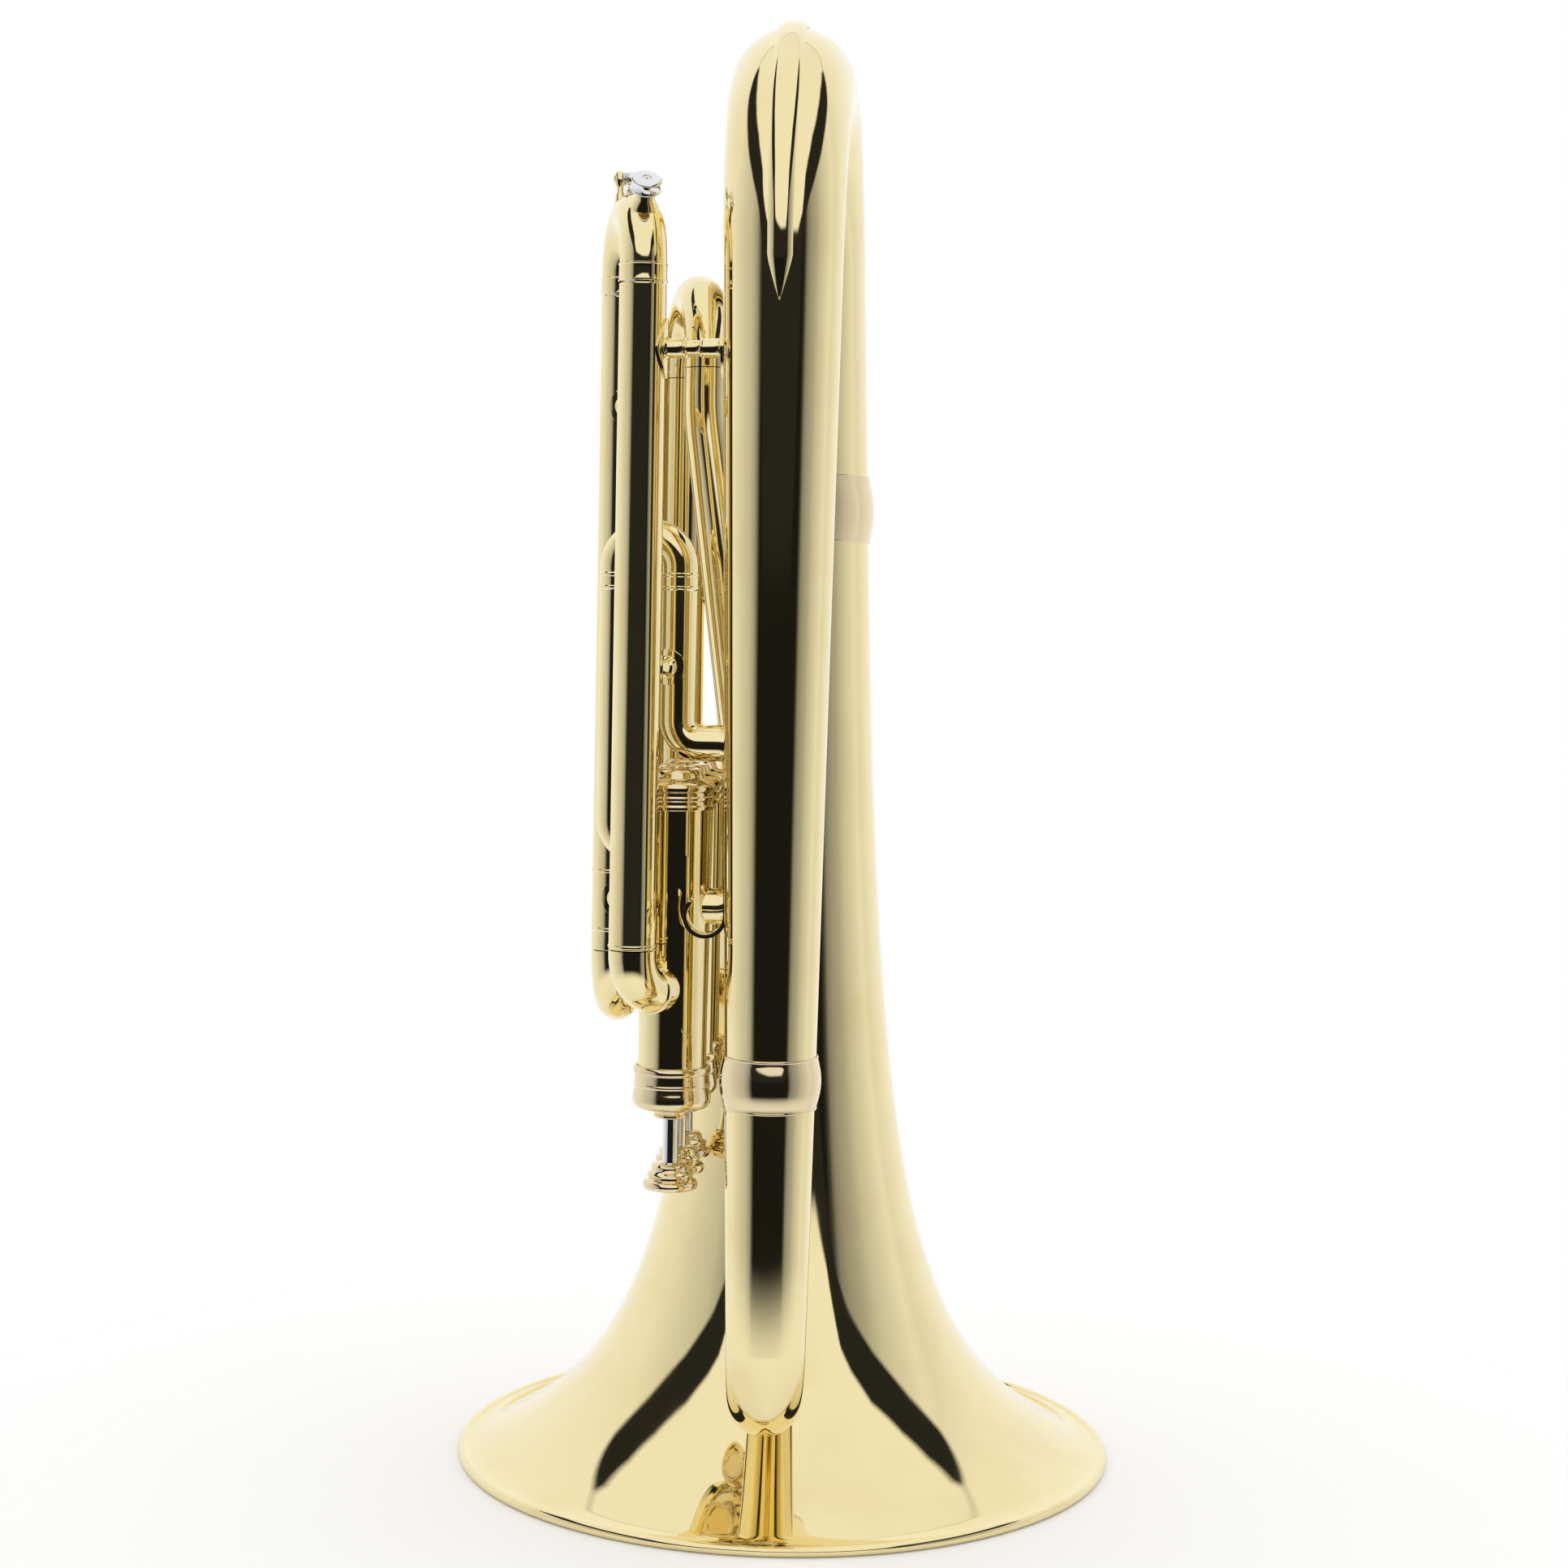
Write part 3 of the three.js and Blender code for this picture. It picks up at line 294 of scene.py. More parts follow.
def polishedMetal(name, tint, tarnish, roughness, coat):
    finish = bpy.data.materials.new(name)
    finish.use_nodes = True
    tree = finish.node_tree
    shader = tree.nodes["Principled BSDF"].inputs
    wear = tree.nodes.new("ShaderNodeGroup")
    wear.node_tree = polish
    relief = tree.nodes.new("ShaderNodeBump")
    feed(tree,
         (wear.inputs["Tint"], tint), (wear.inputs["Tarnish"], tarnish),
         (wear.inputs["Base Roughness"], roughness), (wear.inputs["Haze"], polishing["haze"]),
         (wear.inputs["Wave"], polishing["wave"]), (wear.inputs["Lines"], polishing["lines"]),
         (relief.inputs["Strength"], polishing["bump"]), (relief.inputs["Distance"], polishing["bumpReach"]),
         (relief.inputs["Height"], wear.outputs["Height"]),
         (shader["Metallic"], 1), (shader["Coat Weight"], coat), (shader["Coat Roughness"], 0.02),
         (shader["Base Color"], wear.outputs["Colour"]), (shader["Roughness"], wear.outputs["Roughness"]),
         (shader["Normal"], relief.outputs["Normal"]))
    return finish


def corkFinish():
    finish = bpy.data.materials.new("cork")
    finish.use_nodes = True
    tree = finish.node_tree
    shader = tree.nodes["Principled BSDF"].inputs
    place = tree.nodes.new("ShaderNodeTexCoord")
    grain = tree.nodes.new("ShaderNodeTexVoronoi")
    tone = tree.nodes.new("ShaderNodeValToRGB")
    tone.color_ramp.elements[0].color = (0.2, 0.11, 0.05, 1)
    tone.color_ramp.elements[1].color = (0.55, 0.36, 0.19, 1)
    feed(tree, (grain.inputs["Vector"], place.outputs["Object"]), (grain.inputs["Scale"], 1400),
         (tone.inputs["Fac"], grain.outputs["Distance"]), (shader["Base Color"], tone.outputs["Color"]),
         (shader["Roughness"], 0.85))
    return finish


brass = polishedMetal("lacqueredBrass", **metal["brass"])
goldBrass = polishedMetal("goldBrass", **metal["goldBrass"])
nickel = polishedMetal("nickelPlate", **metal["nickel"])
steel = polishedMetal("springSteel", **metal["steel"])
cork = corkFinish()
print("finishes made")


def brassOnHorn(piece, *nodes, edge=0, smooth=32):
    return finishPiece(piece, "horn", "brass", brass, *nodes, edge=edge, smooth=smooth)


# Bell
bell = {
    "throat": 16.9, "reach": 103.6, "lead": 42.6, "power": 1.07,
    "wall": 1.0, "bead": 1.8, "low": 2.4, "top": 349.85, "rows": 60, "sides": 180,
}


def bellRadius(z):
    return bell["throat"] + bell["reach"] * (bell["lead"] / (z + bell["lead"])) ** bell["power"]


def bellRows():
    lead, bead = bell["lead"], bell["bead"]
    start, ratio = bell["low"] + lead, (bell["top"] + lead) / (bell["low"] + lead)
    heights = [start * ratio ** (k / bell["rows"]) - lead for k in range(bell["rows"] + 1)]
    rows = [(bellRadius(z), z) for z in reversed(heights)]
    for k in range(19):
        turn = math.pi * (0.8 - 1.7 * k / 18)
        out, rise = (bead - 0.05) * math.cos(turn) - bead, bead * math.sin(turn) + bead - 0.3
        rows.append((bellRadius(0) + out, max(0, rise)))
    return rows + [(bellRadius(z) - bell["wall"], z) for z in heights]


horn = turnPiece("bellHorn", at(0, 0, 0), up, bellRows(), bell["sides"], ring=True)
brassOnHorn(horn, "bell")
print("bell made")

# Branches: the wide tubes
branch = {"foot": 350.15, "reach": 125, "springing": 432, "seam": 158, "end": 158.15, "bowStart": 24.2, "bowEnd": 19.9,
          "endRadius": 15}
smallBow = {"foot": 157.85, "centre": 71, "x": -3, "y": -80, "top": 103.85, "end": 11}
returnRun = {"x": -29.4, "y": -62, "foot": 104.15, "lean": 120, "waist": (-12, -71, 262), "knee": 381.2, "bend": 90,
             "top": 397.45, "radius": 8.2}
outputRun = {"x": -41.4, "y": -13, "port": 234, "bend": 13}


def frontAt(z):
    return at(0, -branch["reach"], z)


def standing(run):
    return lambda z: at(run["x"], run["y"], z)


smallAt, returnAt, outputAt = standing(smallBow), standing(returnRun), standing(outputRun)


def alongStops(stops):
    whole = stops[-1][0]

    def radiusAt(share):
        s = share * whole
        for (s0, r0), (s1, r1) in zip(stops, stops[1:]):
            if s <= s1 + 1e-6:
                return r0 + (r1 - r0) * (s - s0) / (s1 - s0)
        return stops[-1][1]

    return radiusAt


straightUp, overBow = branch["springing"] - branch["foot"], math.pi * branch["reach"] / 2
branchRadius = alongStops([
    (0, bellRadius(350)),
    (straightUp, branch["bowStart"]),
    (straightUp + overBow, branch["bowEnd"]),
    (straightUp + overBow + branch["springing"] - branch["end"], branch["endRadius"]),
])
branchFoot = at(0, 0, branch["foot"])
bowA, bowB = at(0, 0, branch["springing"]), frontAt(branch["springing"])
mainMoves = [("run", bowA - branchFoot), bowOver(bowA, bowB, up), ("run", frontAt(branch["end"]) - bowB)]
mainTube = drawTube("mainBranch", branchFoot, up, mainMoves, branchRadius, sides=96, turnStep=4)
brassOnHorn(mainTube, "main_branch")


def evenly(a, b):
    return lambda share: a + (b - a) * share


def always(radius):
    return lambda _: radius


smallA, smallB, smallFoot = frontAt(smallBow["centre"]), smallAt(smallBow["centre"]), frontAt(smallBow["foot"])
smallMoves = [("run", smallA - smallFoot), bowOver(smallA, smallB, -up), ("run", smallAt(smallBow["top"]) - smallB)]
smallTube = drawTube("smallBow", smallFoot, -up, smallMoves, evenly(branch["endRadius"], smallBow["end"]),
                     sides=80, turnStep=4)
brassOnHorn(smallTube, "small_bow")

returnCorners = [smallAt(returnRun["foot"]), smallAt(returnRun["lean"]), at(*returnRun["waist"]),
                 returnAt(returnRun["knee"]), returnAt(returnRun["top"])]
returnTube = drawTube("returnBranch", returnCorners[0], up, movesThrough(returnCorners, returnRun["bend"]),
                      evenly(smallBow["end"], returnRun["radius"]), turnStep=2)
brassOnHorn(returnTube, "return_branch")

crownFoot, crownSpring = returnRun["top"] + 0.3, returnRun["top"] + 2.15
bowC, bowD, crownStart = returnAt(crownSpring), outputAt(crownSpring), returnAt(crownFoot)
crown = [("run", bowC - crownStart), bowOver(bowC, bowD, up), ("run", outputAt(crownFoot) - bowD)]
crownTube = drawTube("returnBow", crownStart, up, crown, always(returnRun["radius"]))
brassOnHorn(crownTube, "return_bow")

valve = {"x": -35, "y": -96, "pitch": 28, "low": 146, "high": 254, "radius": 11.6, "bore": 9.4}


def valveSpot(i, z):
    return at(valve["x"], valve["y"] + i * valve["pitch"], z)


def reachValve(i, fromPoint, inset=0.0):
    spot = valveSpot(i, fromPoint.z / mm)
    return spot + (fromPoint - spot).normalized() * (valve["radius"] - inset) * mm


outFoot = outputAt(outputRun["port"])
outCorners = [outputAt(returnRun["top"]), outFoot, reachValve(2, outFoot, 0.4)]
outTube = drawTube("outputLeg", outCorners[0], -up, movesThrough(outCorners, outputRun["bend"]),
                   always(returnRun["radius"]))
brassOnHorn(outTube, "output_leg")

# Ferrules: barrels with a thin bead at each edge
ferrules = {
    "bellFerrule": {"x": 0, "y": 0, "low": 338, "high": 363, "inner": (bellRadius(338), bellRadius(363) + 0.1),
                    "lift": 0.6, "swell": 1.5, "node": "bell_ferrule", "sides": 96},
    "frontFerrule": {"x": 0, "y": -branch["reach"], "low": 149.5, "high": 167, "inner": (14.9, 15.2),
                     "lift": 0.5, "swell": 1.35, "node": "front_ferrule", "sides": 96},
    "returnFerrule": {"x": smallBow["x"], "y": smallBow["y"], "low": 96, "high": 112, "inner": (11.1, 11),
                      "lift": 0.5, "swell": 1.0, "node": "return_ferrule", "sides": 72},
}
beadRows = ((0, 0), (0.15, 0.25), (0.15, 0.55), (0, 0.8))
for name, f in ferrules.items():
    (innerLow, innerHigh), lift, tall = f["inner"], f["lift"], f["high"] - f["low"]
    rows = [(innerLow + 0.05, f["low"])]
    rows += [(innerLow + lift + out, f["low"] + rise) for out, rise in beadRows]
    for k in range(1, 12):
        share = k / 12
        skin = innerLow + (innerHigh - innerLow) * share
        rows.append((skin + lift + f["swell"] * math.sin(math.pi * share), f["low"] + 0.8 + (tall - 1.6) * share))
    rows += [(innerHigh + lift + out, f["high"] - rise) for out, rise in reversed(beadRows)]
    rows.append((innerHigh + 0.05, f["high"]))
    band = turnPiece(name, at(f["x"], f["y"], 0), up, rows, f["sides"], ring=True)
    finishPiece(band, "horn", "gold_brass", goldBrass, f["node"], edge=0.1)
print("branches made")


# A thin plate wrapped over a round form: spotAt(along, across, lift) places each of its corners
def wrapPlate(name, lanes, rows, thick, spotAt):
    letGo()
    bpy.ops.mesh.primitive_grid_add(x_subdivisions=lanes, y_subdivisions=rows, size=2)
    plate = bpy.context.active_object
    plate.name = name
    plate.data.name = name
    for vertex in plate.data.vertices:
        vertex.co = spotAt(vertex.co.y, vertex.co.x, thick)
    plate.data.update()
    middle = min(plate.data.polygons, key=lambda face: (face.center - spotAt(0, 0, thick)).length)
    if middle.normal.dot(spotAt(0, 0, thick) - spotAt(0, 0, 0)) < 0:
        bpy.ops.object.mode_set(mode="EDIT")
        bpy.ops.mesh.select_all(action="SELECT")
        bpy.ops.mesh.flip_normals()
        bpy.ops.object.mode_set(mode="OBJECT")
    backing = plate.modifiers.new("backing", "SOLIDIFY")
    backing.thickness = thick * mm
    backing.offset = -1
    applyAll(plate)
    bpy.ops.object.mode_set(mode="EDIT")
    bpy.ops.mesh.select_all(action="SELECT")
    bpy.ops.mesh.remove_doubles(threshold=0.00002)
    bpy.ops.mesh.normals_make_consistent(inside=False)
    bpy.ops.object.mode_set(mode="OBJECT")
    return plate


# Bow guard: a convex band along the big bow that ends in two points
guard = {"width": 8, "middle": 10, "thick": 0.8, "crown": 1.35, "tail": 19, "point": 14}


def guardSpot(along, across, lift):
    arc = math.pi * (branch["reach"] / 2 + branch["bowStart"])
    whole = 2 * guard["tail"] + arc
    s = (along + 1) / 2 * whole
    turn = min(math.pi, max(0, (s - guard["tail"]) / arc * math.pi))
    ends = min(1, min(s, whole - s) / guard["point"])
    wide = guard["width"] + (guard["middle"] - guard["width"]) * math.sin(turn)
    half = wide / 2 * max(0.02, ends ** 0.85)
    r = branch["bowStart"] + (branch["bowEnd"] - branch["bowStart"]) * turn / math.pi + 0.2
    crown = guard["crown"] * ends * (1 - abs(across) ** 2.4) if lift else 0
    middle = branch["reach"] / 2
    y, z = middle * (math.cos(turn) - 1), branch["springing"] + middle * math.sin(turn)
    z -= max(0, guard["tail"] - s, s - whole + guard["tail"])
    angle, out = across * half / r, r + lift + crown
    lift = out * math.cos(angle)
    return at(out * math.sin(angle), y + lift * math.cos(turn), z + lift * math.sin(turn))


brassOnHorn(wrapPlate("bowGuard", 24, 150, guard["thick"], guardSpot), "bow_guard", edge=0.15, smooth=50)
print("guard made")


# A wound wire: a small ring swept round and along its axis
def woundWire(name, foot, way, radius, wire, turns, pitch):
    letGo()
    bpy.ops.mesh.primitive_circle_add(vertices=8, radius=wire * mm)
    coil = bpy.context.active_object
    coil.name = name
    coil.data.name = name
    bpy.ops.object.mode_set(mode="EDIT")
    bpy.ops.mesh.select_all(action="SELECT")
    bpy.ops.transform.rotate(value=math.pi / 2, orient_axis="X", center_override=(0, 0, 0))
    bpy.ops.transform.translate(value=(radius * mm, 0, 0))
    bpy.ops.object.mode_set(mode="OBJECT")
    wind = coil.modifiers.new("wind", "SCREW")
    wind.angle = 2 * math.pi * turns
    wind.steps = 16 * turns
    wind.render_steps = 16 * turns
    wind.screw_offset = pitch * turns * mm
    coil.location = foot
    coil.rotation_euler = way.to_track_quat("Z", "Y").to_euler()
    applyAll(coil)
    bpy.ops.object.mode_set(mode="EDIT")
    closeUp(coil, False)
    return coil


# Valves
spring = {"low": 225.1, "high": 253.4, "radius": 7, "wire": 0.5, "turns": 8, "keep": 0.5}
knuckle = {"first": 196, "second": 176, "radius": 6.4, "sunk": 1.4, "wall": 1.2}
topCapRows = [
    (5.7, 140.3), (6.1, 140.6), (6.1, 141.4), (5.7, 141.8), (6.3, 143.2), (10.6, 143.4), (12.3, 144.2),
    (13.2, 145.5), (13.4, 147.2), (13.05, 149.2), (12.75, 150.4), (12.75, 151.2), (13, 151.5), (13, 152.1),
    (12.75, 152.4), (12.75, 155.5), (13.1, 155.8), (13.25, 156.6), (13.1, 157.4), (12.7, 158), (11.75, 158),
    (11.75, 145.7), (3.2, 145.7), (3.2, 140.3),
]
endCapRows = [
    (11.75, 245), (12.9, 245), (13.05, 245.5), (13.05, 246.3), (12.6, 246.8), (12.6, 248), (13, 248.4),
    (13, 249.3), (12.6, 249.7), (12.6, 251), (13.15, 251.4), (13.3, 252.3), (13.15, 253.3), (12.4, 254.2),
    (11.2, 254.9), (9.6, 255.5), (9.3, 256.3), (9, 257.6), (8.2, 258.5), (6.6, 258.9), (3.2, 259), (3.2, 254.3),
    (11.75, 254.3),
]
buttonRows = [
    (0.4, 117.3), (4, 117.25), (6.6, 117), (7.2, 116.3), (8.1, 116), (8.9, 116.25), (9.3, 117.1), (9.3, 118),
    (8.9, 118.8), (7.7, 119.3), (7.3, 119.7), (7.6, 120.2), (7.9, 120.8), (7.5, 121.5), (6.5, 122), (6.1, 122.7),
    (6.1, 123.6), (5.4, 124.4), (4.3, 124.9), (0.4, 125),
]
stemRows = [(2.6, 124.6), (2.75, 124.8), (2.75, 125.2), (2.75, 160.1), (2.75, 160.5), (2.6, 160.7)]
pistonRows = [(6.4, 176), (6.4, 224), (9.05, 224), (9.05, 161), (0.5, 161), (0.5, 176)]
bore, radius, low, high = [valve[name] for name in ("bore", "radius", "low", "high")]
casingRows = [(bore, low), (radius - 0.2, low), (radius, low + 0.2), (radius, low + 0.5), (radius, high - 0.5),
              (radius, high - 0.2), (radius - 0.2, high), (bore, high)]
for i, word in enumerate(("first", "second", "third")):
    body = word + "_valve"
    foot = valveSpot(i, 0)
    brassOnHorn(turnPiece(word + "Casing", foot, up, casingRows, 80, ring=True), word + "_casing")
    topCap = turnPiece(word + "TopCap", foot, up, topCapRows, 80, ring=True)
    finishPiece(topCap, "horn", "gold_brass", goldBrass, word + "_top_cap", edge=0.12)
    endCap = turnPiece(word + "BottomCap", foot, up, endCapRows, 80, ring=True)
    finishPiece(endCap, "horn", "gold_brass", goldBrass, word + "_bottom_cap", edge=0.12)
    rod = turnPiece(word + "Stem", foot, up, stemRows, 40)
    finishPiece(rod, body, "nickel", nickel, word + "_stem", edge=0)
    button = turnPiece(word + "Button", foot, up, buttonRows, 72)
    finishPiece(button, body, "brass", goldBrass, word + "_button", edge=0.1, smooth=40)
    plunger = turnPiece(word + "Piston", foot, up, pistonRows, 64, ring=True)
    finishPiece(plunger, body, "nickel", nickel, word + "_piston", edge=0.15)
    coil = woundWire(word + "ValveSpring", valveSpot(i, spring["low"]), up, spring["radius"], spring["wire"],
                     spring["turns"], (spring["high"] - spring["low"]) / spring["turns"])
    finishPiece(coil, "horn", "steel", steel, word + "_valve_spring", edge=0, smooth=60)
    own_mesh(coil)
back = Vector((0, 1, 0))
knuckleStart = valve["radius"] - knuckle["sunk"]
for i, word in enumerate(("first", "second")):
    start = valveSpot(i, knuckle[word]) + back * knuckleStart * mm
    link = drawTube(word + "Knuckle", start, back, [("run", back * (valve["pitch"] - 2 * knuckleStart) * mm)],
                    always(knuckle["radius"]), wall=knuckle["wall"], sides=48)
    brassOnHorn(link, word + "_knuckle")
print("valves made")


# Cuts a piece back to the round thing it meets, and takes the cutter away
def trimTo(piece, cutter):
    cut = piece.modifiers.new("cut", "BOOLEAN")
    cut.operation = "DIFFERENCE"
    cut.solver = "EXACT"
    cut.object = cutter
    applyAll(piece)
    bpy.data.objects.remove(cutter, do_unlink=True)
    return piece


def casingCore(i, spare=0.03):
    return turnPiece("casingCore", valveSpot(i, 0), up,
                     [(valve["radius"] + spare, valve["low"] - 2), (valve["radius"] + spare, valve["high"])], 80)


def ontoCasing(i, fromPoint):
    return reachValve(i, fromPoint, 3.4)


# Main tuning slide
slide = {
    "frontX": -47, "frontY": -117, "frontLow": 199.5, "rearX": -58, "rearY": -74, "rearLow": 194, "high": 421,
    "sleeve": 7.9, "leg": 6.45, "insert": 90, "ferrule": 8.3, "ferruleLength": 6.5, "ease": 1.2,
    "frontRings": (200.8,), "rearRings": (201.4, 221.7),
    "arch": 17.5, "sideOff": 6.69, "sideTurn": 56.7, "topDrop": 10.19, "bowStraight": 1.4,
}


def slideA(z):
    return at(slide["frontX"], slide["frontY"], z)


def slideB(z):
    return at(slide["rearX"], slide["rearY"], z)


# Rows of a tube with a few fine rings on it, out one way and back along its bore
def ringedRows(radius, wall, low, high, rings, lift=0.25):
    rows = [(radius - 0.12, low), (radius, low + 0.2), (radius, low + 0.5)]
    for z in rings:
        rows += [(radius, z - 0.55), (radius + lift, z - 0.35), (radius + lift, z + 0.35), (radius, z + 0.55)]
    return rows + [(radius, high - 0.6), (radius, high - 0.2), (radius - 0.12, high),
                   (radius - wall, high), (radius - wall, low)]


for word, spot, low, rings in (("front", slideA, slide["frontLow"], slide["frontRings"]),
                               ("rear", slideB, slide["rearLow"], slide["rearRings"])):
    sleeveRows = ringedRows(slide["sleeve"], 0.9, low + 0.15, slide["high"] - 0.15, rings)
    sleeve = turnPiece(word + "SlideSleeve", spot(0), up, sleeveRows, 64, ring=True)
    brassOnHorn(sleeve, word + "_slide_sleeve", edge=0.1)
    outer, bore = slide["leg"], slide["leg"] - 0.9
    legLow, legHigh = slide["high"] - slide["insert"], slide["high"] + slide["ferruleLength"] - 0.3
    leg = turnPiece(word + "SlideLeg", spot(0), up, [
        (outer - 0.3, legLow), (outer, legLow + 0.4), (outer, legHigh), (bore, legHigh), (bore, legLow)], 56, ring=True)
    finishPiece(leg, "main_slide", "nickel", nickel, word + "_slide_leg", edge=0)

bowFoot = slide["high"] + slide["ferruleLength"] + slide["ease"]
bowA, bowB = slideA(bowFoot), slideB(bowFoot)
bowCentre = (bowA + bowB) / 2
bowSpan = (bowA - bowB).length / 2 / mm
bowAway = (bowA - bowB).normalized()
acrossBow = bowAway.cross(up).normalized()
sideTurn = math.radians(slide["sideTurn"])
straight = slide["bowStraight"]
flatArch = [
    ("run", up * straight * mm),
    ("turn", bowCentre + bowAway * slide["sideOff"] * mm, acrossBow, sideTurn),
    ("turn", bowCentre - up * slide["topDrop"] * mm, acrossBow, math.pi - 2 * sideTurn),
    ("turn", bowCentre - bowAway * slide["sideOff"] * mm, acrossBow, sideTurn),
    ("run", -up * straight * mm),
]
slideBow = drawTube("mainSlideBow", slideA(bowFoot - straight), up, flatArch, always(slide["sleeve"]),
                    wall=1.1, sides=64, turnStep=4)
ringLow = slide["high"] + 0.3
ringHigh, wide = ringLow + slide["ferruleLength"], slide["ferrule"]
ringRows = [
    (6.62, ringLow), (wide - 0.1, ringLow), (wide, ringLow + 0.15), (wide, ringLow + 0.5),
    (wide - 0.2, ringLow + 0.7), (wide - 0.25, ringLow + 1), (wide - 0.25, ringHigh - 1.3),
    (wide - 0.2, ringHigh - 1), (wide, ringHigh - 0.8), (wide, ringHigh - 0.5), (wide - 0.1, ringHigh - 0.35),
    (slide["sleeve"], ringHigh - 0.3), (6.62, ringHigh - 0.3),
]
endRings = [turnPiece(f"bowRing{k}", spot(0), up, ringRows, 64, ring=True) for k, spot in enumerate((slideA, slideB))]

# Water key: nipple, posts, pin, lever with its cup, springs, tab and cork. Turns are in half turns round the bow
waterKey = {
    "foot": 6.75, "nippleTurn": 0.25, "nipple": 3.3, "nippleBase": 4.6, "nippleHigh": 6, "cup": 5.2, "cork": 3.9,
    "corkThick": 1.6, "arm": 3.4, "pin": 1.2, "pinLength": 13, "post": 14, "pivotTurn": 0.56, "tabTurn": 0.78,
    "tipTurn": 0.86, "tailReach": 19, "tipReach": 20, "hub": 2.6, "hubLength": 3.6, "neckFoot": 4.2,
    "neck": (2.6, 1.8), "tail": (2.8, 1.8), "tab": (6.4, 1.5), "tabLap": 0.6, "tabFlare": 1.35,
    "springTurns": 3, "springRadius": 2.1, "springPitch": 0.58, "wire": 0.28, "springSides": (-3.7, 2.0),
}


def offBow(turn, out, aside=0.0):
    along, rise = math.cos(turn * math.pi), math.sin(turn * math.pi)
    way = (bowAway * along / bowSpan + up * rise / slide["arch"]).normalized()
    middle = bowAway * along * bowSpan + up * rise * slide["arch"]
    return bowCentre + (middle + way * out + acrossBow * aside) * mm, way


nippleFoot, nippleWay = offBow(waterKey["nippleTurn"], waterKey["foot"])
nipple = turnPiece("nipple", nippleFoot, nippleWay, [
    (waterKey["nippleBase"] + 0.3, 0.6), (waterKey["nippleBase"], 1.5), (3.9, 2.6), (3.45, 4.2),
    (waterKey["nipple"], 5.6), (waterKey["nipple"] - 0.2, waterKey["nippleHigh"]), (1.6, waterKey["nippleHigh"]),
    (1.6, 0.6)], 48, ring=True)
postRows = [(1.9, -1.2), (1.6, 1.6), (1.15, 2.4), (1.1, 4.2), (1.6, 5), (1.95, 5.8), (2.05, 7.2), (1.95, 8.6),
            (1.3, 9.5), (0.5, 9.65)]
pivot, pivotWay = offBow(waterKey["pivotTurn"], waterKey["post"])
posts = []
for k, side in enumerate((-1, 1)):
    foot, _ = offBow(waterKey["pivotTurn"], waterKey["foot"], side * (waterKey["arm"] + 1))
    posts.append(turnPiece(f"post{k}", foot, pivotWay, postRows, 32))
slideBow = joinInto(slideBow, *endRings, nipple, *posts)
finishPiece(slideBow, "main_slide", "brass", brass, "main_slide_bow", edge=0)

thick, long = waterKey["pin"], waterKey["pinLength"]
pin = turnPiece("waterKeyPin", pivot - acrossBow * long / 2 * mm, acrossBow, [
    (thick - 0.3, 0), (thick, 0.3), (thick, long - 0.3), (thick - 0.3, long)], 28)
finishPiece(pin, "main_slide", "steel", steel, "water_key_pin", edge=0)

padFoot = nippleFoot + nippleWay * (waterKey["nippleHigh"] + 0.3) * mm
wide, cup = waterKey["cork"], waterKey["cup"]
pad = turnPiece("waterKeyCork", padFoot, nippleWay, [(wide - 0.3, 0), (wide, 0.3), (wide, waterKey["corkThick"])], 40)
finishPiece(pad, "water_key", "cork", cork, "water_key_cork", edge=0)
drum = turnPiece("waterKeyLever", padFoot, nippleWay, [
    (4.25, 1.95), (4.25, 0.6), (cup - 0.1, 0.6), (cup, 0.8), (cup, 1.3), (cup - 0.25, 1.5), (cup - 0.25, 4.1),
    (cup, 4.35), (cup, 4.8), (4.5, 5.35), (2.2, 5.6), (1.5, 5.5), (1.3, 5.1), (0.4, 5.1), (0.4, 1.95)], 56, ring=True)


# A rectangle of edges, ready to be pulled into a bar
def startBar(name, centre, widthWay, way, width, thick):
    thickWay = way.cross(widthWay).normalized()
    turn = Matrix((widthWay, thickWay, way)).transposed().to_euler()
    letGo()
    bpy.ops.mesh.primitive_plane_add(size=1, location=centre, rotation=turn)
    bar = bpy.context.active_object
    bar.name = name
    bar.data.name = name
    bar.scale = (width * mm, thick * mm, 1)
    bpy.ops.object.transform_apply(location=False, rotation=False, scale=True)
    bpy.ops.object.mode_set(mode="EDIT")
    bpy.ops.mesh.select_all(action="SELECT")
    bpy.ops.mesh.delete(type="ONLY_FACE")
    bpy.ops.mesh.select_all(action="SELECT")
    return bar


def flatBar(name, a, b, widthWay, width, thick, narrow=1.0):
    bar = startBar(name, a, widthWay, (b - a).normalized(), width, thick)
    bpy.ops.mesh.extrude_region_move(TRANSFORM_OT_translate={"value": b - a})
    growRing(narrow, b)
    closeUp(bar, False)
    return bar


neckFoot = padFoot + nippleWay * waterKey["neckFoot"] * mm
tailEnd, _ = offBow(waterKey["tabTurn"], waterKey["tailReach"])
tabTip, _ = offBow(waterKey["tipTurn"], waterKey["tipReach"])
tabWay = (tabTip - tailEnd).normalized()
neck = flatBar("keyNeck", neckFoot, pivot, acrossBow, *waterKey["neck"])
tail = flatBar("keyTail", pivot, tailEnd, acrossBow, *waterKey["tail"])
tab = flatBar("keyTab", tailEnd - tabWay * waterKey["tabLap"] * mm, tabTip, acrossBow, *waterKey["tab"],
              waterKey["tabFlare"])
wide, long = waterKey["hub"], waterKey["hubLength"]
hub = turnPiece("keyHub", pivot - acrossBow * long / 2 * mm, acrossBow, [
    (1.25, 0), (wide - 0.1, 0), (wide, 0.3), (wide, long - 0.3), (wide - 0.1, long), (1.25, long)], 40, ring=True)
